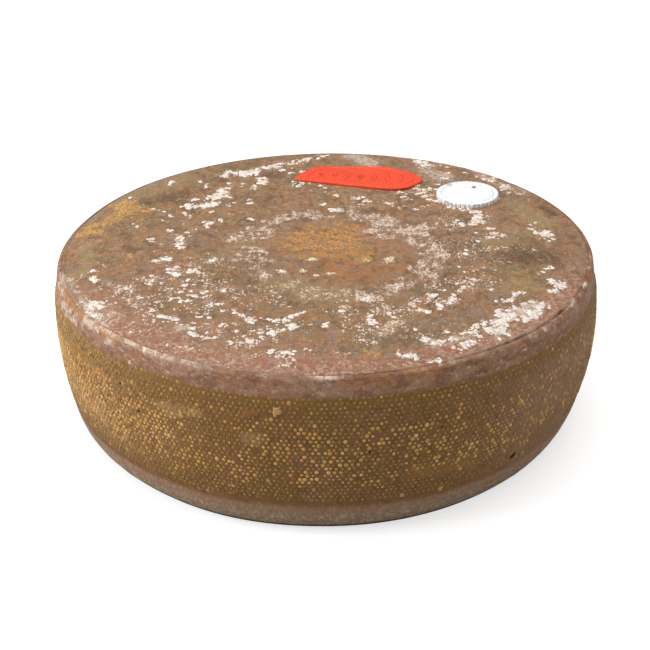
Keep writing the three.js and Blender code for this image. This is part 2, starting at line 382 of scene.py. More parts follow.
class ShaderGroup(Wires):
    """A shader group that reads a place and named numbers, and gives named values."""

    def __init__(self, name: str, numbers: dict[str, float], *results: str) -> None:
        """Makes the group's tree and its sockets."""
        super().__init__(bpy.data.node_groups.new(name, "ShaderNodeTree"))
        face = self.tree.interface
        face.new_socket(name="Place", in_out="INPUT", socket_type="NodeSocketVector")
        for label, default in numbers.items():
            socket = face.new_socket(name=label, in_out="INPUT", socket_type="NodeSocketFloat")
            socket.default_value = default
        for label in results:
            face.new_socket(name=label, in_out="OUTPUT", socket_type="NodeSocketFloat")
        given = self.node("NodeGroupInput")
        self.given = [given.outputs[label] for label in ("Place", *numbers)]

    def give(self, *values: Wire) -> bpy.types.NodeTree:
        """Ends the group with its results, and gives its tree."""
        for socket, value in zip(self.node("NodeGroupOutput").inputs, values):
            self.feed(socket, value)
        return self.tree


@dataclass(frozen=True)
class Layer:
    """Soft uneven patches of one colour over a ground."""

    colour: Colour
    size: float
    level: float
    soft: float
    share: float
    stretch: tuple[float, float, float] = (1.0, 1.0, 1.0)


class Effects:
    """Shader groups that several finishes share, each built once."""

    def __init__(self) -> None:
        """Builds every group."""
        self.crumbs = self._crumbs()
        self.mottle = self._mottle()
        self.grain = self._grain()

    def _crumbs(self) -> bpy.types.NodeTree:
        """Crumbs of dried bloom on a level face."""
        group = ShaderGroup("dry_crumbs", {"Density": 0.5}, "Mask", "Thickness")
        return group.give(*group.crumbs(*group.given))

    def _mottle(self) -> bpy.types.NodeTree:
        """Soft uneven patches of a size, cut off below a level."""
        group = ShaderGroup("soft_mottle", {"Size": 5.0, "Level": 0.5, "Soft": 0.08}, "Mask")
        place, size, level, soft = group.given
        low, high = group.math("SUBTRACT", level, soft), group.total(level, soft)
        return group.give(group.rise(group.noise(place, size, 3.0, 0.6), low, high))

    def patches(self, paint: Paint, place: Socket, size: float, level: Wire, soft: float) -> Socket:
        """Where soft uneven patches of a size lie."""
        return paint.group(self.mottle, Place=place, Size=size, Level=level, Soft=soft).outputs[0]

    def patched(self, paint: Paint, place: Socket, colour: Wire, layers: Iterable[Layer]) -> Wire:
        """Lays patches of other colours over a ground, one layer after another."""
        for layer in layers:
            where = paint.stretched(place, *layer.stretch)
            patches = self.patches(paint, where, layer.size, layer.level, layer.soft)
            colour = paint.mix(paint.product(patches, layer.share), colour, layer.colour)
        return colour

    def _grain(self) -> bpy.types.NodeTree:
        """A fine grain in light and dark about 1, to multiply a colour by."""
        group = ShaderGroup("fine_grain", {"Size": 1.4, "Depth": 0.2}, "Tone")
        place, size, depth = group.given
        low, high = group.math("SUBTRACT", 1.0, depth), group.total(1.0, depth)
        return group.give(group.rise(group.noise(place, size, 4.0, 0.68), 0.3, 0.7, low, high))

    def grained(self, paint: Paint, place: Socket, colour: Wire, size: float, depth: float) -> Socket:
        """A colour with the fine grain on it."""
        tone = paint.group(self.grain, Place=place, Size=size, Depth=depth).outputs[0]
        return paint.mix(1.0, colour, tone, "MULTIPLY")


# ---- Meshes --------------------------------------------------------------------------------


def smooth(mesh: bpy.types.Mesh) -> None:
    """Shades every face of a mesh smooth."""
    mesh.polygons.foreach_set("use_smooth", np.ones(len(mesh.polygons), dtype=bool))


def make_mesh(name: str, places: Array, faces: Faces) -> bpy.types.Mesh:
    """A smooth mesh of one vertex per row, in metres, and the vertex numbers of each face."""
    mesh = bpy.data.meshes.new(name)
    mesh.from_pydata([tuple(place) for place in places], [], faces)
    smooth(mesh)
    return mesh


def show(name: str, data: bpy.types.ID) -> bpy.types.Object:
    """Makes an object of some data and links it to the scene."""
    made = bpy.data.objects.new(name, data)
    bpy.context.scene.collection.objects.link(made)
    return made


def make_piece(name: str, places: Array, faces: Faces) -> bpy.types.Object:
    """Makes a smooth mesh object at the origin.

    Args:
        name: The piece's name.
        places: One vertex per row, in millimetres.
        faces: Vertex numbers of each face, anticlockwise from outside.

    Returns:
        The new object, linked to the scene.
    """
    return show(name, make_mesh(name, places * MM, faces))


def places_of(piece: bpy.types.Object) -> Array:
    """The vertices of a piece, one per row, in millimetres."""
    flat = np.empty(len(piece.data.vertices) * 3)
    piece.data.vertices.foreach_get("co", flat)
    return flat.reshape(-1, 3) / MM


def move_places(piece: bpy.types.Object, places: Array) -> None:
    """Puts the vertices of a piece at new places, in millimetres."""
    piece.data.vertices.foreach_set("co", (places * MM).ravel())
    piece.data.update()


def store(piece: bpy.types.Object, name: str, values: Array) -> None:
    """Keeps one value per vertex on a piece, for its material."""
    mesh = piece.data
    kept = mesh.attributes.get(name) or mesh.attributes.new(name, "FLOAT", "POINT")
    kept.data.foreach_set("value", np.asarray(values, dtype=np.float32))


def stitch(lower: Sequence[int], upper: Sequence[int]) -> Faces:
    """Faces between two rings, one above or inside the other, seen from outside.

    Args:
        lower: Vertex numbers of the first ring.
        upper: Vertex numbers of the next: as many, half as many, twice as many, or one.

    Returns:
        Quads where the rings match, and triangles where they don't.
    """
    count, other = len(lower), len(upper)
    faces: Faces = []
    if other == 1:
        return [(lower[i], lower[(i + 1) % count], upper[0]) for i in range(count)]
    if count == 1:
        return [(lower[0], upper[(i + 1) % other], upper[i]) for i in range(other)]
    if count == other:
        for i in range(count):
            following = (i + 1) % count
            faces.append((lower[i], lower[following], upper[following], upper[i]))
    elif count == 2 * other:
        for i in range(other):
            first, middle, last = lower[2 * i], lower[2 * i + 1], lower[(2 * i + 2) % count]
            following = upper[(i + 1) % other]
            faces += [(first, middle, upper[i]), (middle, following, upper[i]), (middle, last, following)]
    else:
        for i in range(count):
            first, middle, last = upper[2 * i], upper[2 * i + 1], upper[(2 * i + 2) % other]
            following = lower[(i + 1) % count]
            faces += [(lower[i], middle, first), (lower[i], following, middle), (following, last, middle)]
    return faces


def surface_through(rings: Sequence[Array]) -> tuple[Array, Faces]:
    """A surface drawn through rings of places, each joined to the next.

    Args:
        rings: The places of each ring, one per row. A closed end is a ring of one place.

    Returns:
        All the places, and the faces between them.
    """
    ends = np.cumsum([len(ring) for ring in rings])
    loops = [range(end - len(ring), end) for end, ring in zip(ends, rings)]
    return np.vstack(rings), [face for pair in zip(loops, loops[1:]) for face in stitch(*pair)]


def joined(parts: Sequence[tuple[Array, Faces]]) -> tuple[Array, Faces]:
    """Several surfaces as one, each given by its places and faces."""
    faces: Faces = []
    first = 0
    for places, part_faces in parts:
        faces += [tuple(first + corner for corner in face) for face in part_faces]
        first += len(places)
    return np.vstack([places for places, _ in parts]), faces


def middle_place(height: float) -> Array:
    """A ring of one place, at some height over the origin."""
    return np.array([[0.0, 0.0, height]])


def ring_of(radius: Array | float, direction: Array, height: float) -> Array:
    """A ring of places at one height, from radii and directions in radians."""
    level = np.full(len(direction), height)
    return np.column_stack([radius * np.cos(direction), radius * np.sin(direction), level])


def turned(x: Array, y: Array, angle: float) -> tuple[Array, Array]:
    """Flat places turned about the origin by an angle in radians."""
    cosine, sine = math.cos(angle), math.sin(angle)
    return x * cosine - y * sine, x * sine + y * cosine


def directions(count: int) -> Array:
    """Even directions all round, in radians."""
    return 2 * np.pi * np.arange(count) / count


# ---- The wheel's shape ---------------------------------------------------------------------


@dataclass(frozen=True)
class Crust:
    """A crust of dried bloom that stands up from the top face, along an arc."""

    radius: float
    start: float
    end: float
    width: float
    height: float


@dataclass(frozen=True)
class Dent:
    """A round dent pressed into the top face."""

    x: float
    y: float
    radius: float
    depth: float


@dataclass(frozen=True)
class Pit:
    """A small hole in the side, with the size of its mouth."""

    direction: float
    z: float
    width: float
    height: float
    depth: float


@dataclass(frozen=True)
class DrawnIn:
    """A stretch of the side that is drawn in towards its foot."""

    direction: float
    spread: float
    depth: float


@dataclass(frozen=True)
class WheelShape:
    """The outline and the unevenness of the wheel, the same as its solid's."""

    radius: float
    height: float
    widest_at: float = 56.0
    bow: float = 0.0026
    foot_round_width: float = 5.0
    foot_round_height: float = 14.0
    valley_at: float = 18.0
    valley_width: float = 3.0
    valley_depth: float = 0.45
    net_low: float = 17.0
    net_high: float = 80.0
    shoulder_from: float = 75.0
    shoulder_step: float = 0.9
    side_top: float = 87.6
    crease_radius: float = 143.6
    crease_width: float = 1.4
    crease_depth: float = 1.1
    band_width: float = 12.0
    band_drop: float = 1.3
    dish: float = 0.7
    ring_height: float = 0.28
    ring_spacing: float = 29.0
    wave_height: float = 0.3
    drawn_in_below: float = 60.0
    drawn_in: tuple[DrawnIn, ...] = (DrawnIn(-35, 56, 4.0), DrawnIn(-152, 50, 1.7))
    crusts: tuple[Crust, ...] = (
        Crust(131, -78, -22, 7, 0.5),
        Crust(86, -160, -92, 4, 0.35),
        Crust(100, 108, 152, 6, 0.45),
        Crust(137, 196, 232, 4, 0.5),
    )
    dents: tuple[Dent, ...] = (
        Dent(112, -13, 15, 0.6),
        Dent(-62, -22, 18, 0.4),
        Dent(18, 58, 16, 0.35),
    )
    pits: tuple[Pit, ...] = tuple(Pit(*row) for row in (
        (-50.4, 24.0, 5.0, 2.8, 2.4), (-68.9, 59.0, 1.6, 1.4, 1.4), (-57.0, 55.0, 1.4, 1.4, 1.2),
        (-82.5, 50.6, 1.8, 1.3, 1.4), (-134.0, 71.6, 1.4, 2.2, 1.5), (-133.0, 67.0, 1.6, 1.6, 1.5),
        (-128.4, 56.0, 1.5, 2.0, 1.5), (62.0, 33.0, 3.2, 2.0, 1.8), (141.0, 61.0, 2.0, 1.8, 1.5),
    ))

    def side_radius(self, z: Array) -> Array:
        """Radius of the side at a height, without its unevenness."""
        bow = self.bow * (z - self.widest_at) ** 2
        step = self.shoulder_step * ease(z, self.shoulder_from, self.net_high)
        valley = self.valley_depth * hump(z, self.valley_at, self.valley_width)
        below = np.clip(1 - z / self.foot_round_height, 0, 1)
        rounding = self.foot_round_width * (1 - np.sqrt(1 - below**2))
        return self.radius - bow - step - valley - rounding

    def side_unevenness(self, direction: Array, z: Array) -> Array:
        """How far the side stands out of true: a slightly oval, uneven hoop."""
        oval = 0.45 * np.cos(2 * direction + 0.7)
        flats = 0.22 * np.cos(4 * direction - 1.9) + 0.14 * np.cos(10 * direction + 0.4)
        low = np.clip(1 - z / self.drawn_in_below, 0, None) ** 1.5
        inward = np.zeros(np.shape(direction))
        for place in self.drawn_in:
            off = direction - math.radians(place.direction)
            away = np.arctan2(np.sin(off), np.cos(off))
            inward = inward + place.depth * hump(away, 0, math.radians(place.spread))
        return oval + flats + 0.2 * np.sin(6 * direction + z / 14) - low * inward

    def top_relief(self, x: Array, y: Array) -> Array:
        """How far the top face lies below its rim."""
        radius, direction = np.hypot(x, y), np.arctan2(y, x)
        dish = self.dish * (1 - ease(radius, 20, 120))
        rings = self.ring_height * (0.5 + 0.5 * np.cos(2 * np.pi * radius / self.ring_spacing))
        slope = np.sin(x / 19 + y / 43) + np.sin(y / 15 - x / 52) + np.sin((x - y) / 27)
        waves = self.wave_height * (0.5 + slope / 6)
        dents = [d.depth * hump(np.hypot(x - d.x, y - d.y), 0, d.radius) for d in self.dents]
        lumps = 0.7 + 0.3 * np.sin(direction * 23) * np.sin(radius / 2.7)
        crusts = [
            c.height * arc(direction, c.start, c.end, (c.end - c.start) / 8) * hump(radius, c.radius, c.width)
            for c in self.crusts
        ]
        sunk = dish + rings + waves + np.max(dents, axis=0) - lumps * np.max(crusts, axis=0)
        return np.clip(sunk, 0, None)

    def settle(self, radius: Array, direction: Array, z: Array) -> Array:
        """Places of the surface, with its unevenness, from points of the outline.

        Args:
            radius: Radius of each point on the even outline.
            direction: Its direction, in radians.
            z: Its height.

        Returns:
            One place per row, in millimetres.
        """
        upper = ease(radius, self.crease_radius - self.band_width, self.crease_radius)
        outward = np.where(z < self.height / 2, ease(radius, 60, 120), upper)
        spread = radius + outward * self.side_unevenness(direction, z)
        x, y = np.cos(direction) * spread, np.sin(direction) * spread
        level = ease(z, self.height - self.band_drop, self.height - 0.2)
        return np.stack([x, y, z - level * self.top_relief(x, y)], axis=1)

    def crease_line(self) -> list[Point]:
        """Key points of the outline from the top of the side over the crease to the level top."""
        mouth = self.height - self.band_drop
        half = self.crease_width / 2
        points = [
            (float(self.side_radius(np.array(self.side_top))), self.side_top),
            (self.crease_radius + half + 1.5, mouth - 1.3),
            (self.crease_radius + half + 0.35, mouth - 0.42),
            (self.crease_radius + half - 0.1, mouth - 0.35),
            (self.crease_radius + half * 0.45, mouth - 0.75),
            (self.crease_radius, mouth - self.crease_depth),
            (self.crease_radius - half * 0.5, mouth - 0.55),
            (self.crease_radius - half, mouth - 0.1),
        ]
        for across in (0.1, 0.3, 0.6, 1.0):
            drop = self.band_drop * (1 - across) ** 2
            points.append((self.crease_radius - half - self.band_width * across, self.height - drop))
        return points


def smooth_line(points: Sequence[Point], spacing: float) -> Array:
    """A smooth curve through points, as places a spacing apart.

    Args:
        points: What the curve passes through.
        spacing: Distance between the places made.

    Returns:
        One flat place per row, from the first point to the last.
    """
    given = np.array(points)
    padded = np.vstack([2 * given[0] - given[1], given, 2 * given[-1] - given[-2]])
    share = np.linspace(0, 1, 16, endpoint=False)[:, None]
    parts = []
    for before, start, end, after in zip(padded, padded[1:], padded[2:], padded[3:]):
        tangent_in, tangent_out = (end - before) / 2, (after - start) / 2
        parts.append(
            (2 * share**3 - 3 * share**2 + 1) * start
            + (share**3 - 2 * share**2 + share) * tangent_in
            + (3 * share**2 - 2 * share**3) * end
            + (share**3 - share**2) * tangent_out
        )
    fine = np.vstack([*parts, given[-1:]])
    run = np.concatenate([[0], np.cumsum(np.hypot(*np.diff(fine, axis=0).T))])
    stops = np.linspace(0, run[-1], max(2, round(run[-1] / spacing) + 1))
    return np.stack([np.interp(stops, run, fine[:, axis]) for axis in (0, 1)], axis=1)


# ---- Marks on the rind ---------------------------------------------------------------------


class Mark(Enum):
    """What can lie on the rind or tint it. The value is the name its mesh values are kept by."""

    BLOOM = "bloom"
    HAZE = "haze"
    LACE = "lace"
    OCHRE = "ochre"
    RUST = "rust"
    ROSE = "rose"
    OLIVE = "olive"
    STRAW = "straw"
    DAMP = "damp"
    GOLD = "gold"


class SideMark(Enum):
    """What can lie on the side or tint it. The value is the name its mesh values are kept by."""

    CREAM = "side_cream"
    TAN = "side_tan"
    ORANGE = "side_orange"
    DARK = "side_dark"


@dataclass(frozen=True)
class Stroke:
    """A mark drawn along a line, or round a single point.

    The points are in millimetres on the top face. On the side they are directions and heights.
    """

    mark: Mark | SideMark
    line: tuple[Point, ...]
    width: float
    strength: float

    def mask(self, places: Array) -> Array:
        """Strength of the mark at flat places: full along the line and gone at its width."""
        return self.strength * (1 - ease(line_distance(places, self.line), 0.25 * self.width, self.width))

    def rolled_out(self, radius: float) -> Stroke:
        """The same mark of a side of some radius that is rolled out flat from its front."""
        line = [(math.radians((direction + 270) % 360 - 180) * radius, z) for direction, z in self.line]
        return replace(self, line=tuple(line))


def strokes(mark: Mark | SideMark, *rows: tuple) -> tuple[Stroke, ...]:
    """Strokes of one mark, from rows of a strength, a width and the points of a line."""
    return tuple(Stroke(mark, tuple(line), width, strength) for strength, width, *line in rows)


def dots(mark: Mark, width: float, *places: Point) -> tuple[Stroke, ...]:
    """Strokes of one mark round single points, all of one width and full strength."""
    return tuple(Stroke(mark, (place,), width, 1.0) for place in places)


STROKES = (
    *strokes(
        Mark.BLOOM,
        (0.85, 7, (-60.6, 81.3), (-60.7, 72.3)), (0.8, 6, (-78.6, 56.9), (-67.7, 59.7)),
        (0.8, 4, (-68.6, 67), (-64.6, 71.9)), (0.8, 4.5, (-37.8, 99.1), (-37.8, 91.6)),
        (0.5, 4, (-55.7, 88.9), (-49.7, 83.5)), (0.6, 4, (-41.8, 87), (-43.8, 83.4)),
        (0.9, 1.6, (-98.5, 52), (-94.9, 49.2)), (0.9, 1.4, (-97.5, 9.6), (-95.6, 5.8)),
        (0.8, 1.8, (-109.5, 30.7), (-107.5, 24.6)), (0.7, 1.8, (-93, 97), (-94.5, 89.7)),
        (0.9, 2.4, (-83.6, -83.3), (-79.6, -84.2), (-75.7, -86.7)),
        (0.9, 2.2, (-64.7, -102.7), (-58.7, -106.7)), (1.0, 3, (-29.9, -89.7), (-23.9, -90.7)),
        (0.74, 3.7, (-81.7, 11.3), (-79.7, -2.8)), (0.94, 3.7, (-92.6, -19.1), (-85.7, -14.7)),
        (0.68, 3.7, (-83.6, -29.8), (-79.6, -36.1)), (0.68, 3, (-70.7, -30.8)),
        (0.54, 3.2, (-122.3, -31.6)),
        (0.44, 4.4, (-33.8, -102.8), (-23.9, -95), (-17.9, -86.6), (-12, -80.5)),
        (0.57, 3.7, (-19.9, -98.1), (-8, -94.9)), (0.95, 4.2, (-116.3, -68.8), (-113.3, -72.7)),
        (0.49, 2.2, (-139, -36), (-133, -40)),
        (0.49, 3.4, (-124, -63), (-120, -72), (-118, -80), (-114, -90)),
        (0.4, 5.9, (-114, -74), (-108, -86)), (0.5, 4, (45.8, -79.8), (47.8, -77.7), (51.7, -83.2)),
        (0.68, 2.6, (56.7, -74.9), (56.7, -81.2)), (0.94, 2.6, (64.7, -68.9), (62.7, -75.2)),
        (0.74, 2.4, (65.7, -64.8), (69.7, -57.7), (71.7, -54.7)), (0.61, 3, (51.8, -63.5), (55.8, -64.5)),
        (0.61, 3, (71.6, -77.2)), (0.61, 3, (19.9, -89.9), (23.9, -93.2)),
        (0.81, 2.4, (101.5, -64.1), (97.5, -64), (94.5, -69), (93.5, -73)), (0.94, 2.8, (90.6, -72.4)),
        (1, 3.2, (99.4, -76.4)), (0.81, 2.2, (107.4, -60.3)),
        (0.7, 5, (106.3, -74.7), (110.3, -77.7), (105.4, -81.7)),
        (0.65, 6.5, (99.4, -83.7), (102.4, -87.6), (96.4, -89.6)),
        (0.6, 4, (92.5, -78.1), (93.4, -85.6), (92.4, -93.6)), (0.81, 3.5, (86.6, -83), (87.5, -89.2)),
        (0.65, 6.5, (85.5, -95.6), (87.5, -101.6), (83.5, -106.3)), (0.81, 3, (99, -92)),
        (1, 3.2, (77.6, -95)), (0.81, 3, (72.6, -98), (71.6, -104.3), (72.6, -111.5)),
        (0.81, 3, (78.5, -101.6), (79.5, -106.5)), (0.7, 5, (49.7, -114.1), (53.7, -117.5)),
        (0.6, 5, (61.6, -111.5), (65.6, -107.2), (67.6, -115.4), (62.6, -120.2)), (1, 2.8, (57.7, -104.9)),
        (0.68, 2.4, (65.7, -94.8), (67.7, -96.8)), (0.94, 3, (35.8, -127.4), (41.8, -129.2)),
        (0.85, 4, (116.3, -51.8), (122.3, -52.9), (120.3, -57.8)), (0.85, 4, (116.3, -61.8), (119, -64)),
        (0.24, 18, (77.6, 0.7), (83.6, -22.9), (79.6, -46.9)), (1, 3, (86.6, 17.9)),
        (1, 2.6, (91.6, 18.6), (91.6, 16.6)), (1, 2.6, (94.5, 10.4)), (0.81, 2.4, (92.5, 5.6)),
        (1, 3.4, (123.3, 11.2), (123.3, 6.2)), (0.68, 2.6, (114.4, 16.6), (118.4, 15.5)),
        (0.81, 2.6, (87.5, -43.4)), (0.84, 3, (77.7, -47.8)),
        (0.75, 5.9, (-61.7, 106), (-54.7, 110.9), (-49.8, 104.5), (-41.8, 114.2), (-27.9, 121.1),
         (-11.9, 128.7), (0, 140)),
        (0.81, 3, (5, 49.4)), (0.81, 3.7, (87.6, 41.4), (89.6, 34.5)), (0.9, 4.4, (85.6, 25), (87.6, 30.7)),
        (1, 3.6, (76.7, 28), (78.7, 24)), (0.4, 5.2, (100, 94), (108, 84), (115, 70)),
        (0.75, 5, (60, 126), (68, 117)), (0.22, 12, (-19.9, 90.6), (-8, 82.9), (19.9, 66.9), (45.8, 58.5)),
        (0.26, 9, (114.5, 26.6), (123.3, 8.2)), (0.3, 4.4, (39.8, -101.2), (45.8, -106.9)),
        (0.3, 5.9, (5, -82.6), (29.9, -82.6)), (0.68, 2.5, (-16.9, -84.8), (-15.9, -80.4)),
        (0.68, 2.5, (-12.9, -93.9), (-19.9, -98.1), (-24.9, -104)), (0.61, 2.5, (-2, -97.1), (1, -95)),
        (0.81, 2.5, (20.9, -86.7), (21.9, -95.3)), (0.54, 2.5, (30.9, -84.7), (33.8, -86.9)),
        (0.54, 2.2, (47.8, -70.5), (53.8, -64.5)), (0.68, 3, (-27.9, -121), (-16.9, -124.1)),
        (0.81, 2.2, (-7, -136)), (0.68, 3, (47, -134), (52, -132)),
        (0.68, 2.6, (39.8, -129.3), (33.8, -126.4)), (0.68, 3.4, (-122.3, -40.7), (-121.3, -43.8)),
        (0.81, 3, (-91.6, -19)), (0.81, 2.4, (-86.7, -13.7)), (0.94, 3, (-83.6, -31.9), (-79.6, -27.9)),
        (0.68, 2.2, (-71.7, -30.8), (-71.7, -34.9)), (0.54, 2.4, (-59.8, -13.9), (-61.8, -18.8)),
        (0.4, 5, (110.6, -8.5), (114.6, -11.2)), (0.81, 1.8, (119.4, -34.5), (111.5, -42.2)),
        (1, 2.6, (99.4, 7.1)),
    ),
    *dots(
        Mark.BLOOM, 1.5,
        (55.1, 77.7), (57.5, 80.0), (60.2, 76.8), (62.9, 78.6), (64.7, 75.1), (61.6, 72.9), (59.1, 71.9),
        (56.1, 70.1), (54.1, 73.2), (65.5, 70.5), (63.5, 67.6), (59.9, 64.7), (57.8, 63.0), (61.7, 62.4),
        (63.8, 60.5), (66.0, 59.3), (73.0, 49.6), (75.2, 47.4), (77.8, 48.3), (81.8, 49.3), (83.7, 45.6),
        (34.9, 57.6), (38.8, 55.3), (41.7, 56.6), (20.5, 58.1), (23.7, 61.0), (7.6, 48.5), (-0.8, 56.8),
        (-11.0, 90.4), (-15.3, 87.5), (-18.3, 90.7), (-14.1, 110.6), (-20.1, 108.4), (48.0, 66.7),
        (51.1, 61.4), (44.2, 50.7), (50.2, 55.5), (52.4, 46.8), (61.3, 52.9), (92.5, 41.0), (100.5, 74.4),
        (102.5, 61.2), (94.2, 97.3), (97.5, 93.2), (78.0, 115.0), (73.0, 118.6), (102.3, 89.8),
        (106.2, 85.8), (110.1, 81.7), (111.7, 71.7), (115.7, 69.3), (-76.6, 95.5), (-104.4, 74.4),
        (-105.4, 69), (-116, 71), (-71.7, 90.9), (-71.7, 87.3), (-78.7, 43.8), (-89.5, 41.7), (-62.1, 61.8),
        (-81.7, 31.1), (-84.7, 17.3), (-81.7, 4.3), (-43.9, 36.6), (-91.5, 33.4), (-84.1, 11),
        (-78.1, 18.5), (-67.7, 28), (-84.5, 55.9), (-86, -45.9), (-84.6, -40.7), (-80.1, -50.7),
        (-81.1, -57.9), (-77.6, -64.4), (-74.1, -66.8), (-70.6, -67.6), (-80.1, -67.3), (-85.5, -64.3),
        (-89.5, -63.3), (-95.5, -62.6), (-60.7, -70.7), (-38.3, -78.1), (-87.1, -76.9), (-72.2, -92.6),
        (-65.7, -91.6), (-59.7, -91.7), (-58.7, -97.5), (-52.8, -105.6), (-56.3, -101.5), (-27.9, -102),
        (-31.8, -106.7), (70.2, 54.9), (67.4, 84.7), (88, 103), (20.4, 66.5), (38.8, 57.5), (57.6, 52),
        (48.3, 52), (45.6, 73.9), (73.4, 94),
    ),
    *dots(
        Mark.BLOOM, 2.1,
        (63.3, 76.7), (65.6, 72.8), (61.0, 64.7), (64.8, 62.3), (76.6, 50.2), (79.8, 47.2), (101.3, 94.6),
        (107.8, 74.9), (109.9, 68.8), (61.1, 122.4), (63.9, 118.9), (62.2, 115.7), (-1.4, 56.8),
        (7.0, 48.5), (-24.9, 122.6), (-21.7, 118.3), (-26.2, 113.5), (-80.6, 52.7), (-82, 46),
        (-92.2, 36.3), (-65.4, 48.8), (-56.1, 44.4), (-52.7, 53.1), (-56.7, 56.6), (-53.4, 61),
        (-44.6, 66.4), (-44.6, 60.2), (-59.9, 37.4), (-68.2, 34.6), (-66, 31.3), (-73.7, 27.1),
        (-74.2, 22.7), (-69.8, 20.4), (-75.3, 14), (-86.2, 27.2), (-87.9, 21.8), (-91.6, 4.2),
        (-76.5, 66.4), (-91.5, -43.6), (-91.5, -47.6), (-71.2, -42.9), (-68.2, -47.9), (-74.2, -48.8),
        (-74.2, -52.9), (-74.6, -57), (-69.7, -55.7), (-69.7, -60.8), (-62.7, -59.1), (-62.2, -62.8),
        (-59.2, -73.7), (-54.8, -70.4), (-50.8, -77.5), (-46.8, -76.4), (-44.8, -81.5), (-63.7, -85.4),
        (-51.3, -94.8), (-43.3, -100.7), (-39.3, -105.1), (-45.8, -111.2), (-66.2, -96.6), (60.3, 73.1),
        (60.3, 67.3), (63.1, 61.5), (68, 57.6), (76.7, 48.9), (80.1, 44.5), (84.4, 42), (76.6, 102.4),
        (98, 100),
    ),
    *dots(
        Mark.BLOOM, 3.2,
        (21.6, -68.8), (-38.4, -88.2), (-37.4, -90.4), (-7.6, -18.2), (-66.7, -61.7), (-42.8, -83.6),
        (-37.8, -87.7), (-37.8, -110.6), (-32.8, -111.6), (57, 76.5), (64.5, 122.4),
    ),
    *strokes(
        Mark.HAZE,
        (0.95, 10, (20, 134), (31.8, 122.6)), (0.85, 8, (60, 120), (66.6, 103.7), (75.6, 94.9)),
        (0.65, 9, (98, 96), (108, 86), (116, 72)),
        (0.6, 4, (-141, -34), (-135, -40), (-131, -50), (-127, -59)),
        (0.6, 6, (-124, -64), (-120, -74), (-116, -86), (-109, -96)), (0.6, 10, (-113, -74), (-108, -86)),
        (0.3, 4, (36.8, -91.3), (30.8, -99.4), (24.9, -107.1), (21.9, -117)),
        (0.5, 6, (88, 104), (100, 96)), (0.5, 7, (49.7, 104), (75.6, 88.2)),
        (0.95, 8, (105.4, -76.7), (99.4, -85.7), (93.4, -87.6)), (0.95, 7, (86.5, -95.6), (85.5, -105.2)),
        (0.7, 7, (51.7, -117.5), (65.6, -111.5)), (0.3, 9, (-61.6, 79.3), (-45.8, 98.2)),
        (0.9, 5, (-71.7, -98.8), (-66.7, -97.6)), (0.7, 4, (-99, -93)),
        (0.35, 7, (-95.5, 20.5), (-83.7, 5.4)),
    ),
    *strokes(
        Mark.LACE,
        (0.9, 3, (-142, -33), (-134, -42), (-129, -54)), (0.9, 5, (-124, -64), (-119, -76), (-112, -92)),
        (0.7, 9, (-111.4, -47.4), (-103.5, -57.2), (-95.5, -69.1)),
        (0.28, 12, (-83.6, -91), (-65.7, -106.9)),
        (0.95, 9, (-49.8, 9.6), (-39.8, 22.3), (-27.9, 35.2), (-13.9, 45.3), (-2, 41.4)),
        (0.6, 8, (0, 35.9), (6, 45.3), (16, 52.2)), (0.7, 8, (-47.8, 11.5), (-37.9, 11.5), (-31.9, 17.7)),
        (0.6, 9, (-45.8, -2.6), (-35.9, -8.3)), (0.8, 8, (-49.8, -15.2), (-37.9, -17.6), (-31.9, -20.4)),
        (1.0, 12, (19.9, 39.4), (29.9, 35.5), (41.9, 23.6)), (0.8, 9, (25.9, 18.4), (33.9, 12.1)),
        (1.0, 9, (39.9, 25.6), (47.8, 13.7), (59.8, 23.4)),
        (0.9, 13, (49.8, 9.7), (57.8, -2.2), (59.8, -16.3)),
        (0.9, 10, (55.8, -20.1), (57.8, -28.4), (49.8, -32), (53.8, -40.6)),
        (0.95, 10, (41.9, -48.2), (31.9, -56.3), (23.9, -64.6)),
        (0.7, 8, (-39.9, -30.4), (-31.9, -40.3), (-29.9, -48)),
        (0.6, 13, (-19.9, -44.3), (-10, -58), (6, -60)), (0.7, 7, (12, -55.9), (15.9, -66.6)),
        (0.9, 7, (33.8, -96.4), (27.8, -104.3)), (0.4, 8, (-61.8, -19.8), (-49.8, -14.3)),
    ),
    *strokes(
        Mark.OCHRE,
        (1.0, 21, (-8, 11.7), (2, 13.7), (2, -1.7)), (0.75, 18, (-12, -2.4), (2, 17.8), (12, -8.2)),
        (0.45, 32, (-15.9, 9.7), (12, 16), (6, -14.3)), (0.85, 6, (22.9, -15.6), (21.9, -21.6)),
        (0.3, 12, (-119.3, 46), (-107.5, 46.6)), (0.5, 7, (-2, 120.4), (6, 116.5)),
        (0.34, 20, (77.7, -36.7), (91.5, -39.5), (105.5, -49.1)), (0.25, 14, (-10, -86.7), (10, -90.8)),
    ),
    *strokes(
        Mark.GOLD,
        (1.0, 6, (-139, 15), (-133, 22), (-128.3, 21)), (0.9, 6, (-134, 29), (-128.3, 31.9)),
        (1.0, 8, (-125.3, 39.9), (-120.3, 47.9), (-121, 61)), (0.85, 7, (-112.4, 54.1), (-106.5, 50.6)),
        (0.35, 8, (-117.4, 46.1), (-107.5, 38.7)), (0.3, 10, (-121.4, 28.3), (-107.5, 30.7)),
        (0.25, 8, (-128, 62), (-116, 70), (-103.4, 75.9)), (0.55, 4, (-129.3, 10.2), (-124.4, 9.4)),
        (0.9, 3.4, (-107.5, -10.3), (-105.5, -15.4)), (0.9, 2.6, (-78.6, -41.9)), (0.8, 3, (-43.8, 73.9)),
        (0.9, 3.4, (17.9, -120.1), (21.9, -123.2)), (0.6, 3, (9.9, -125.2)),
        (0.8, 4, (20.9, -15.7), (24.9, -19.7)),
        (0.45, 5, (57.7, 81.6), (61.7, 70.2), (65.7, 58.8), (77.7, 46.9)), (0.4, 5, (104, 92), (106.4, 74)),
    ),
    *strokes(
        Mark.RUST,
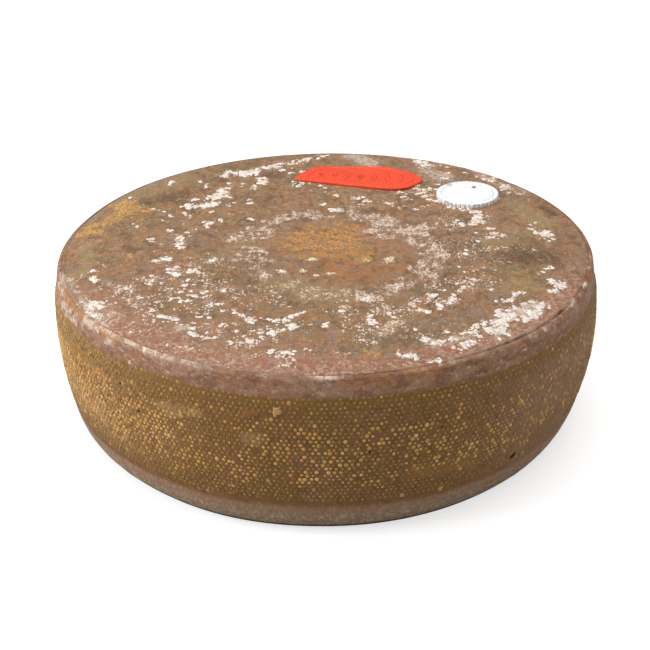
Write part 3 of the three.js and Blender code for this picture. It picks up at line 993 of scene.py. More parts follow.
        (0.8, 20, (2, -29.7), (12, -40.3), (31.9, -34.3)), (0.4, 26, (16, -17.8), (10, -38.2)),
        (0.5, 12, (33.9, -3.8), (45.8, -16.3)), (0.5, 7, (29.8, -103.3), (33.8, -107)),
    ),
    *strokes(
        Mark.ROSE,
        (0.9, 26, (-111.4, -53.5), (-93.5, -89.3), (-61.7, -113.1), (-19.9, -127.2)),
        (0.7, 16, (29.9, 6.4), (43.8, -0.4)), (0.5, 20, (-103.5, -19.5), (-83.6, -43.2)),
        (0.6, 18, (39.9, 15.6), (49.8, -12.2)), (0.35, 20, (-63.8, 13.4), (-39.8, -12.6)),
        (0.6, 10, (110, -90), (126, -66)),
    ),
    *strokes(
        Mark.OLIVE,
        (0.75, 24, (-110, 78), (-69.6, 107.5), (-20, 136)),
        (0.7, 20, (87.6, -9.1), (103.5, -37.3), (91.6, -65)), (0.6, 16, (39.8, -106.9), (63.7, -94.8)),
        (0.45, 18, (-19.9, -72.7), (19.9, -80.6)), (0.6, 14, (-67.7, -10.7), (-57.8, -28)),
        (0.5, 14, (45.8, -52.6), (59.8, -54.6)), (0.8, 18, (29.8, -111), (43.7, -119.5)),
        (0.9, 4, (-3, -70.7)), (0.8, 5, (18.9, -45.2)), (0.7, 4, (23.9, -100.4)),
        (1.0, 5.5, (95.5, -28.7), (94.5, -32.6)), (1.0, 5.5, (101.5, -36.5), (102.5, -49.1)),
        (0.6, 16, (-121.4, 30.2), (-105.5, 32.6)), (0.7, 14, (-79.6, -67.3), (-59.7, -79)),
        (0.6, 10, (-89.5, -47.6), (-83.5, -61.5)),
    ),
    *strokes(
        Mark.STRAW,
        (0.8, 7, (-132.3, 2.3), (-131.3, -19.6), (-130, -36)),
        (0.6, 16, (-128, 66), (-108, 86), (-92, 100)), (0.7, 12, (111.5, 52.5), (123.3, 26.1)),
        (0.5, 14, (95.5, 0.4), (111.4, 10.4)), (0.4, 16, (91.5, -43.5), (99.5, -59)),
        (0.5, 10, (-132, 30), (-123.3, 43.9)), (0.7, 14, (-23.9, -48.1), (-8, -60), (4, -62.1)),
        (0.5, 12, (-51.8, -8.3), (-43.8, 1.4)),
    ),
    *strokes(
        Mark.DAMP,
        (0.8, 17, (103.5, -19.5), (118.5, -20)), (0.9, 8, (107.5, -23.3), (109.5, -20.8)),
        (0.8, 5, (119.4, -22.2), (121.4, -24.5)), (0.8, 4.5, (20.9, -62.4)),
        (0.7, 9, (-95.6, 68.5), (-83.6, 76.4)), (0.5, 8, (69.7, -13.1), (73.6, 0.7)),
        (0.5, 10, (65.7, -42.8), (59.7, -50.7)), (0.9, 5, (128, 48), (132, 38)),
        (0.7, 6, (-33.8, 106.5), (-27.9, 102.2)), (0.7, 6, (-61.7, 96.4)),
        (0.7, 7, (-84.5, 60.7), (-79.6, 54.1)), (0.7, 7, (-104.5, 64.3)),
        (0.4, 6, (-55.7, -42.9), (-41.8, -46.3)), (0.9, 2.2, (25.3, -14.1)),
        (0.6, 5, (-4, 39.5), (-12, 35.6)), (0.5, 7, (87.6, -39.3), (91.5, -45.5)),
    ),
)


SIDE_STROKES = (
    *strokes(
        SideMark.CREAM,
        (0.3, 7, (-168, 86), (-150, 85), (-136, 85), (-124, 84)),
        (0.5, 5, (-166, 88), (-156, 85), (-150, 87)), (0.5, 5, (-158, 81), (-150, 84)),
        (0.62, 4, (-147, 88), (-141, 88)), (0.5, 3, (-138, 86), (-136, 85)), (0.5, 3, (-138, 81)),
        # the thin pale strokes at about 90.5 high from -133 to -108 are crust with a painted highlight along
        # the rim's edge
        (0.6, 2, (-133, 86)), (0.6, 2, (-129, 79)), (0.9, 1.5, (-133, 90.4), (-125, 90.6)),
        (0.4, 0.8, (-123, 90.5), (-108, 90.6)), (0.4, 3, (-121, 87), (-121, 81)),
        (0.5, 1.5, (-93, 90), (-87, 90)), (0.45, 1.5, (-71, 90), (-65, 90)), (0.9, 1.0, (-98, 89.4)),
        (0.9, 1.0, (-85.2, 84)), (0.9, 0.9, (-83, 81)), (0.8, 1.2, (-63, 86)),
        (0.8, 1.0, (-51, 85), (-49, 84.5)), (0.8, 1.0, (-47.6, 89)), (0.9, 1.6, (-43, 89)),
        (0.6, 3.5, (-33, 89.5), (-29, 89)), (0.45, 2.6, (-85.5, 62.5)), (0.4, 2.6, (-95, 42)),
        (0.4, 2.2, (-87, 38)), (0.4, 2.4, (-81, 65)), (0.4, 2.4, (-75, 68)), (0.4, 2.4, (-85, 50)),
        (0.45, 3.5, (-168, 80), (-158, 78)), (0.4, 4.0, (40, 86), (60, 87)),
        (0.4, 4.0, (112, 86), (136, 84)),
    ),
    *strokes(
        SideMark.TAN,
        (0.5, 5, (-172, 66), (-160, 60)), (0.5, 3, (-124, 63), (-121, 66)),
        (0.5, 2.5, (-117, 66), (-114, 66.5)), (0.5, 5, (-105, 57), (-103, 57)),
        (0.45, 5, (-121, 62), (-116, 66)), (0.4, 6, (-152, 46), (-140, 40)), (0.4, 6, (-30, 60), (-12, 52)),
        (0.4, 8, (96, 60), (120, 66)),
    ),
    *strokes(
        SideMark.ORANGE,
        (0.5, 4, (-84, 88), (-78, 86)), (0.5, 4, (-75, 88), (-70, 87)), (0.5, 4, (-139, 89), (-135, 90)),
        (0.45, 2, (-106, 70), (-103, 72)), (0.7, 3.0, (-162, 89.6), (-148, 89.4), (-136, 90.2)),
        (0.5, 5, (-150, 70), (-138, 66)), (0.35, 6, (-74, 36), (-62, 32)), (0.4, 8, (-168, 50), (-150, 56)),
        (0.4, 6, (60, 50), (76, 44)),
    ),
    *strokes(
        SideMark.DARK,
        (0.6, 2.0, (-90, 89), (-76, 89.4)), (0.5, 1.6, (-62, 90), (-50, 89.8), (-40, 89.9)),
        (0.6, 1.6, (-104.5, 87.5), (-103.6, 87.4)), (0.5, 3.0, (-20, 88), (10, 88)),
    ),
)


@dataclass(frozen=True)
class Lump:
    """A patch of dried crumbs on the top face."""

    x: float
    y: float
    size: float
    tone: float
    warm: float = 0.0


LUMPS = tuple(Lump(*row) for row in (
    (21.6, -69.0, 5.2, 1.0, 0.1), (-7.2, -18.4, 6.2, 0.9, 0.8), (34.4, -20.8, 8.4, 0.8, 0.5),
    (-23.2, -33.6, 6.4, 0.9), (-12.0, -32.6, 4.2, 0.95), (3.2, -36.8, 5.0, 0.7, 0.2),
    (-5.0, -38.8, 3.0, 0.8), (22.4, -20.2, 6.0, 0.3, 0.6), (10.0, -76.6, 5.4, 0.6, 0.4),
    (-103.0, -52.2, 7.6, 0.95, 0.2), (-38.5, -89.0, 5.2, 1.0), (-58.0, -70.8, 4.4, 1.0),
    (9.0, 48.3, 5.6, 0.8), (47.5, -81.6, 4.6, 0.95), (33.8, -95.4, 8.5, 0.5, 0.25),
    (28.8, -102.3, 5.0, 0.45, 0.25), (22.9, -115.0, 3.6, 0.5, 0.2), (118.5, -54.2, 5.0, 1.0),
    (117.0, -62.7, 4.6, 1.0), (38.8, -127.2, 4.6, 1.0), (78.0, -47.6, 3.6, 1.0),
    (56.0, 84.0, 6.4, 0.85, 0.45), (61.0, 75.0, 4.4, 0.8, 0.5), (60.0, 67.0, 3.6, 0.7, 0.5),
    (70.0, 58.0, 3.8, 0.8, 0.5), (77.0, 51.0, 4.6, 0.85, 0.35), (84.0, 47.0, 4.4, 0.9, 0.2),
    (104.0, 93.0, 5.0, 0.75, 0.4), (108.0, 78.0, 5.0, 0.65, 0.4),
))


@dataclass(frozen=True)
class SideSpot:
    """A pale blot of rubbed-off crust on the side."""

    direction: float
    z: float
    size: float
    tone: float


SIDE_SPOTS = tuple(SideSpot(*row) for row in (
    (-99.1, 73.0, 4.6, 0.1), (-68.1, 21.0, 3.0, 0.2), (-76.0, 22.0, 2.6, 0.15), (-130.5, 80.5, 2.6, 0.45),
    (-118.0, 62.5, 3.4, 0.12), (28.0, 64.0, 3.6, 0.12), (96.0, 40.0, 4.0, 0.12), (170.0, 70.0, 4.2, 0.12),
))


# where each mark of the crease starts and ends, in degrees, and how strong it is
# the first table darkens the crease groove with painted shade
CREASE_SHADE = (
    (-86, -76, 1.0), (-66, -50, 0.4), (-52, -40, 0.45), (-40, -28, 0.95), (-28, 30, 0.3), (100, 192, 0.45),
)
CREASE_CREAM = (
    (192, 198, 0.5), (220, 224, 1.0), (228, 246, 0.45), (-133, -125, 0.8), (-92, -88, 0.8), (-70, -66, 0.6),
    (44, 84, 0.5),
)
CREASE_GREY = (
    (192, 218, 0.5), (-122, -94, 0.3), (-66, -46, 0.25), (-46, -20, 0.1), (120, 180, 0.4),
)


# ---- Finishes ------------------------------------------------------------------------------


@dataclass(frozen=True)
class RindFinish:
    """Colours of the rind: its top, its plain shoulder and foot, and the ground of its net marks."""

    effects: Effects
    top_brown: Colour = srgb(148, 113, 79)
    top_layers: tuple[Layer, ...] = (
        Layer(srgb(132, 106, 76), 24.0, 0.5, 0.1, 0.9),
        Layer(srgb(164, 116, 78), 13.0, 0.52, 0.07, 0.75),
        Layer(srgb(104, 76, 48), 6.0, 0.54, 0.06, 0.55, (1.0, 0.7, 1.0)),
        Layer(srgb(172, 132, 94), 4.4, 0.55, 0.06, 0.45, (1.0, 0.7, 1.0)),
        Layer(srgb(146, 130, 118), 7.0, 0.57, 0.05, 0.45, (1.0, 0.7, 1.0)),
    )
    speck: Colour = srgb(234, 212, 196)
    frost: Colour = srgb(200, 170, 140)
    top_dark: Colour = srgb(72, 50, 30)
    rose: Colour = srgb(168, 120, 96)
    ochre_deep: Colour = srgb(140, 94, 52)
    ochre: Colour = srgb(214, 155, 90)
    gold: Colour = srgb(228, 180, 106)
    rust: Colour = srgb(170, 108, 64)
    olive: Colour = srgb(118, 102, 72)
    damp: Colour = srgb(98, 70, 42)
    pools: Colour = srgb(126, 94, 64)
    straw: Colour = srgb(164, 142, 100)
    lace: Colour = srgb(238, 212, 194)
    old_lace: Colour = srgb(208, 178, 130)
    haze: Colour = srgb(204, 186, 168)
    bloom: Colour = srgb(236, 227, 217)
    bloom_rosy: Colour = srgb(208, 180, 160)
    band: Colour = srgb(158, 106, 82)
    band_pale: Colour = srgb(206, 172, 152)
    net_layers: tuple[Layer, ...] = (
        Layer(srgb(134, 92, 56), 22.0, 0.52, 0.12, 0.8),
        Layer(srgb(104, 72, 34), 6.0, 0.54, 0.08, 0.45),
        Layer(srgb(152, 112, 62), 2.2, 0.57, 0.06, 0.4),
    )
    net_ground: Colour = srgb(128, 91, 42)
    net_mauve: Colour = srgb(157, 120, 96)
    net_golden: Colour = srgb(206, 162, 100)
    below_shoulder: Colour = srgb(130, 94, 42)
    shoulder: Colour = srgb(156, 112, 85)
    shoulder_layers: tuple[Layer, ...] = (
        Layer(srgb(172, 136, 112), 8.0, 0.52, 0.07, 0.6, (0.6, 0.6, 1.0)),
        Layer(srgb(128, 86, 58), 6.0, 0.54, 0.07, 0.7, (0.6, 0.6, 1.0)),
        Layer(srgb(170, 116, 74), 9.0, 0.58, 0.07, 0.6),
        Layer(srgb(112, 72, 54), 4.4, 0.6, 0.05, 0.5, (0.6, 0.6, 1.0)),
        Layer(srgb(196, 166, 144), 2.4, 0.6, 0.05, 0.5, (0.6, 0.6, 1.0)),
        Layer(srgb(204, 184, 166), 1.2, 0.63, 0.05, 0.35, (0.8, 0.8, 1.0)),
    )
    side_tan: Colour = srgb(190, 152, 108)
    side_orange: Colour = srgb(186, 128, 66)
    side_dark: Colour = srgb(92, 48, 34)
    side_cream: Colour = srgb(226, 208, 186)
    foot: Colour = srgb(152, 126, 96)
    foot_layers: tuple[Layer, ...] = (
        Layer(srgb(166, 138, 116), 12.0, 0.5, 0.1, 0.5),
        Layer(srgb(198, 178, 152), 1.4, 0.55, 0.06, 0.6, (1.0, 1.0, 0.5)),
        Layer(srgb(120, 92, 68), 2.6, 0.57, 0.06, 0.4),
    )
    foot_line: Colour = srgb(158, 114, 90)
    # painted shadow: near-black where the foot meets the floor
    contact_shadow: Colour = srgb(26, 18, 22)
    # painted shade for the groove of the crease
    crease_shade: Colour = srgb(84, 54, 46)
    crease_grey: Colour = srgb(154, 142, 134)
    crease_cream: Colour = srgb(240, 224, 204)
    # painted shade inside the pits
    pit: Colour = srgb(62, 20, 8)

    def build(self) -> bpy.types.Material:
        """Makes the rind's material."""
        paint = Paint("rind")
        place = paint.place()
        marks = {mark: paint.attribute(mark.value) for mark in Mark}
        top_colour, lace = self._top(paint, place, marks)
        colour = paint.mix(paint.attribute("top"), self._side(paint, place), top_colour)

        frayed = paint.pushed(place, 2.0, 2.0)
        level = paint.total(paint.product(marks[Mark.HAZE], -0.33), 0.76)
        powder = self.effects.patches(paint, frayed, 2.2, level, 0.07)
        hazy = paint.total(paint.product(powder, 0.75), paint.product(marks[Mark.HAZE], 0.12))
        colour = paint.mix(hazy, colour, self.haze)
        mask, thickness = paint.group(self.effects.crumbs, Place=place, Density=marks[Mark.BLOOM]).outputs
        worn = paint.rise(paint.noise(place, 1.1, 3.0, 0.7), 0.36, 0.56, 0.35, 1.0)
        white = paint.mix(paint.product(paint.rise(thickness, 0.05, 0.6), worn), self.bloom_rosy, self.bloom)
        colour = paint.mix(paint.product(mask, 0.96), colour, white)

        flecks = paint.rise(paint.noise(place, 2.0, 3.0), 0.42, 0.58)
        colour = paint.tinted(colour, self.crease_grey, "crease_grey", 0.8)
        # painted shade in the groove of the crease
        colour = paint.tinted(colour, self.crease_shade, "crease_shade")
        ridge = paint.product(paint.attribute("crease_cream"), paint.total(paint.product(flecks, 0.8), 0.3))
        ridge = paint.math("MINIMUM", ridge, 1.0)
        # the pits are darkened with painted shade
        colour = paint.tinted(paint.mix(ridge, colour, self.crease_cream), self.pit, "pit")

        grain = paint.noise(place, 0.9, 3.0, 0.65)
        height = paint.total(
            paint.product(thickness, mask, 0.3),
            paint.product(grain, 0.12),
            paint.product(paint.noise(place, 3.2, 3.0), 0.2),
            paint.product(ridge, 0.2),
            paint.product(lace, 0.12),
        )
        paint.bump(height, 0.8)
        rough = paint.rise(paint.noise(place, 7.0, 3.0), 0.35, 0.65, 0.46, 0.66)
        rough = paint.total(rough, paint.product(mask, 0.25), paint.product(marks[Mark.DAMP], -0.12))
        return paint.finish(colour, rough, Specular_IOR_Level=0.3)

    def _top(self, paint: Paint, place: Socket, marks: dict[Mark, Socket]) -> tuple[Socket, Socket]:
        """Colour of the top face without its bloom, and where its lace lies."""
        effects = self.effects
        colour = effects.patched(paint, place, self.top_brown, self.top_layers)
        rosy = paint.rise(paint.noise(place, 6.0, 4.0), 0.38, 0.6)
        colour = paint.mix(paint.product(marks[Mark.ROSE], rosy, 0.75), colour, self.rose)
        uneven = paint.rise(paint.noise(place, 9.0, 4.0), 0.36, 0.6, 0.3, 0.9)
        colour = paint.tinted(colour, self.band, "band", uneven)
        flecked = effects.patches(paint, paint.pushed(place, 2.0, 2.0), 2.4, 0.55, 0.05)
        colour = paint.tinted(colour, self.band_pale, "band", flecked, 0.55)

        everywhere = paint.total(paint.product(marks[Mark.OLIVE], 0.8), 0.08)
        blots = effects.patches(paint, place, 6.5, 0.53, 0.05)
        colour = paint.mix(paint.product(blots, everywhere), colour, self.olive)
        for mark, share, tone in ((Mark.STRAW, 0.7, self.straw), (Mark.LACE, 0.6, self.pools)):
            colour = paint.mix(paint.product(marks[mark], share), colour, tone)

        tall = paint.stretched(place, 1.0, 0.7, 1.0)
        grains = paint.noise(tall, 0.75, 4.0, 0.72)
        thick = paint.rise(paint.noise(place, 6.0, 4.0), 0.3, 0.7, -0.17, 0.17)
        dusty = paint.rise(paint.total(grains, thick, paint.product(marks[Mark.OCHRE], 0.2)), 0.54, 0.8)
        ochre = paint.mix(paint.rise(grains, 0.36, 0.6), self.ochre_deep, self.ochre)
        colour = paint.mix(paint.product(dusty, paint.rise(marks[Mark.OCHRE], 0.0, 0.8)), colour, ochre)
        dust = paint.rise(paint.total(grains, thick, paint.product(marks[Mark.RUST], 0.14)), 0.52, 0.8)
        rusty = paint.rise(marks[Mark.RUST], 0.0, 1.0)
        colour = paint.mix(paint.product(dust, rusty, 0.8), colour, self.rust)
        flaked = paint.total(paint.noise(tall, 1.9, 5.0, 0.78), paint.product(marks[Mark.GOLD], 0.22))
        gilded = paint.product(paint.rise(flaked, 0.59, 0.69), paint.rise(marks[Mark.GOLD], 0.0, 0.3))
        gold = paint.mix(paint.rise(grains, 0.4, 0.6), self.ochre_deep, self.gold)
        colour = paint.mix(gilded, colour, gold)

        damp_edge = effects.patches(paint, place, 4.0, 0.38, 0.12)
        colour = paint.mix(paint.product(marks[Mark.DAMP], damp_edge, 0.85), colour, self.damp)

        fine = paint.noise(paint.pushed(tall, 1.0, 2.0), 2.0, 5.0, 0.76)
        colour = paint.tinted(colour, self.frost, "frost", paint.rise(fine, 0.55, 0.64), 0.7)
        specked = paint.total(paint.noise(tall, 1.1, 2.0, 0.6), paint.product(marks[Mark.OCHRE], 0.045))
        colour = paint.mix(paint.product(paint.rise(specked, 0.62, 0.7), 0.65), colour, self.top_dark)
        colour = effects.grained(paint, tall, colour, 2.2, 0.12)
        mirrored = paint.stretched(place, -1.0, 1.0, 1.0)
        specks = paint.group(effects.crumbs, Place=mirrored, Density=paint.attribute("specks")).outputs[0]
        colour = paint.mix(paint.product(specks, 0.86), colour, self.speck)

        lace = self._web(paint, place, marks[Mark.LACE])
        return paint.mix(lace, colour, paint.mix(marks[Mark.STRAW], self.lace, self.old_lace)), lace

    def _web(self, paint: Paint, place: Socket, share: Socket) -> Socket:
        """A filigree of dried crust: crooked threads of two sizes, clotted in places and torn in others."""
        tall = paint.stretched(place, 1.0, 0.75, 1.0)
        bent = paint.pushed(paint.pushed(tall, 3.0, 2.8), 0.6, 1.0)
        clots = paint.noise(tall, 4.4, 4.0, 0.7)
        room = paint.rise(share, 0.05, 0.65, -0.2, 0.0)
        web: Wire = 0.0
        for size, low, high, thin, thick in ((4.3, 0.38, 0.66, 0.0, 0.13), (2.2, 0.4, 0.66, -0.1, 0.2)):
            width = paint.total(paint.rise(clots, low, high, thin, thick), room)
            thread = paint.rise(paint.math("SUBTRACT", width, paint.edges(bent, size)), -0.02, 0.035)
            web = paint.math("MAXIMUM", web, thread)
        torn = paint.noise(tall, 1.0, 4.0, 0.72)
        film = paint.product(paint.rise(paint.total(clots, torn), 0.9, 1.1), share, share, 0.5)
        return paint.math("MAXIMUM", paint.product(web, paint.rise(torn, 0.38, 0.5, 0.12, 1.0)), film)

    def _side(self, paint: Paint, place: Socket) -> Socket:
        """Colour of the side: the ground between the net marks, the shoulder and the foot."""
        effects = self.effects
        colour = effects.patched(paint, place, self.net_ground, self.net_layers)
        colour = paint.tinted(colour, self.net_mauve, "mauve", 0.85)
        crust = effects.patches(paint, place, 2.0, 0.49, 0.05)
        crusted = paint.total(paint.product(crust, 0.85), 0.04)
        colour = paint.tinted(colour, self.net_golden, "golden", crusted)
        colour = paint.tinted(colour, self.below_shoulder, "below_shoulder")
        shoulder = effects.patched(paint, place, self.shoulder, self.shoulder_layers)
        colour = paint.tinted(colour, shoulder, "shoulder")
        colour = paint.tinted(colour, self.side_tan, "side_tan", 0.8)
        colour = paint.tinted(colour, self.side_orange, "side_orange", 0.7)
        wide = paint.stretched(place, 0.6, 0.6, 1.0)
        for name, tone, size in (("side_dark", self.side_dark, 2.4), ("side_cream", self.side_cream, 2.8)):
            level = paint.total(paint.product(paint.attribute(name), -0.46), 0.82)
            blots = effects.patches(paint, wide, size, level, 0.1)
            colour = paint.mix(paint.product(blots, 0.7), colour, tone)
        colour = paint.tinted(colour, effects.patched(paint, place, self.foot, self.foot_layers), "foot")
        colour = paint.tinted(colour, self.foot_line, "foot_line", 0.6)
        colour = effects.grained(paint, place, colour, 1.8, 0.14)
        # the lowest few millimetres of the side get a painted contact shadow
        return paint.tinted(colour, self.contact_shadow, "contact_shadow")


@dataclass(frozen=True)
class NubFinish:
    """Colours of one kind of net mark, from brown and dull to rubbed and pale."""

    name: str
    effects: Effects
    low: Colour
    middle: Colour
    high: Colour
    odd: Colour

    def build(self) -> bpy.types.Material:
        """Makes the net marks' material, with a tone of its own for each mark."""
        paint = Paint(self.name)
        place = paint.place()
        tone, luck = paint.attribute("tone"), paint.attribute("luck")
        colour = paint.mix(paint.rise(tone, 0.0, 0.5), self.low, self.middle)
        colour = paint.mix(paint.rise(tone, 0.5, 1.0), colour, self.high)
        colour = paint.mix(paint.rise(luck, 0.72, 1.0, 0.0, 0.7), colour, self.odd)
        colour = self.effects.grained(paint, place, colour, 0.9, 0.16)
        worn = paint.noise(place, 0.7, 2.0, 0.65)
        paint.bump(paint.product(worn, 0.08), 0.6)
        return paint.finish(colour, paint.rise(worn, 0.3, 0.7, 0.5, 0.66), Specular_IOR_Level=0.3)


@dataclass(frozen=True)
class FlakeFinish:
    """Colours of the loose flakes of dried bloom."""

    effects: Effects
    white: Colour = srgb(239, 230, 220)
    rosy: Colour = srgb(232, 206, 190)
    tan: Colour = srgb(198, 156, 104)
    cream: Colour = srgb(232, 214, 156)

    def build(self) -> bpy.types.Material:
        """Makes the flakes' material, with a tone of its own for each flake."""
        paint = Paint("dry_bloom")
        place = paint.place()
        tone = paint.attribute("tone")
        grain = paint.noise(place, 0.6, 3.0, 0.7)
        colour = paint.mix(paint.rise(tone, 0.2, 0.55), self.tan, self.rosy)
        colour = paint.mix(paint.rise(tone, 0.55, 0.85), colour, self.white)
        colour = paint.tinted(colour, self.cream, "warm")
        colour = self.effects.grained(paint, place, colour, 0.8, 0.14)
        paint.bump(paint.product(grain, 0.12), 0.8)
        return paint.finish(colour, paint.rise(grain, 0.3, 0.7, 0.78, 0.95), Specular_IOR_Level=0.2)


@dataclass(frozen=True)
class CaseinFinish:
    """A pressed label of dyed casein, with painted shade in its hollows and dirt at its edges and in its
    hollows.
    """

    name: str
    effects: Effects
    base: Colour
    # deeper tone for the clouding, and the colour of the painted shade in the hollows
    deep_tone_and_shade: Colour
    dirt: Colour
    dirt_share: float
    cloudy: float
    roughness: float
    subsurface: float

    def build(self) -> bpy.types.Material:
        """Makes the label's material."""
        paint = Paint(self.name)
        place = paint.place()
        cloud = paint.rise(paint.noise(place, 9.0, 3.0), 0.35, 0.68)
        colour = paint.mix(paint.product(cloud, self.cloudy), self.base, self.deep_tone_and_shade)
        # the hollows of the relief are painted darker: painted shade
        hollow_shade = paint.attribute("hollow_shade")
        colour = paint.mix(paint.product(hollow_shade, 0.8), colour, self.deep_tone_and_shade)
        grime = self.effects.patches(paint, place, 1.6, 0.56, 0.07)
        caught = paint.total(paint.attribute("edge"), paint.product(hollow_shade, 0.35))
        dirty = paint.product(grime, caught, self.dirt_share)
        colour = paint.tinted(paint.mix(dirty, colour, self.dirt), self.dirt, "stain")
        grain = paint.noise(place, 0.8, 3.0, 0.6)
        paint.bump(paint.total(paint.product(grain, 0.05), paint.product(paint.noise(place, 5.0), 0.25)), 0.6)
        rough = paint.rise(grain, 0.3, 0.7, self.roughness - 0.05, self.roughness + 0.12)
        rough = paint.total(rough, paint.product(dirty, 0.3))
        return paint.finish(colour, rough, Subsurface_Weight=self.subsurface, Subsurface_Scale=0.002)


# ---- The wheel -----------------------------------------------------------------------------


class Spots:
    """The rind's vertices on the even surface, and how far each lies on the top, base or side."""

    base_inset = 16.5  # how far inside the widest radius the level base ends, in millimetres

    def __init__(self, places: Array, shape: WheelShape) -> None:
        """Works out where each vertex is."""
        self.places = places
        self.z = places[:, 2]
        self.radius = np.hypot(*places[:, :2].T)
        self.direction = np.arctan2(places[:, 1], places[:, 0])
        rim = shape.crease_radius
        self.top = ease(self.radius, rim - 0.4, rim - 1.0) * (self.z > shape.height / 2)
        self.under = (self.radius < shape.radius - self.base_inset) & (self.z < 1)
        self.side = 1 - np.maximum(self.top, self.under)

    def noise(self, size: float, seed: int) -> Array:
        """Rough noise at each vertex."""
        return rough_noise(self.places, size, seed)


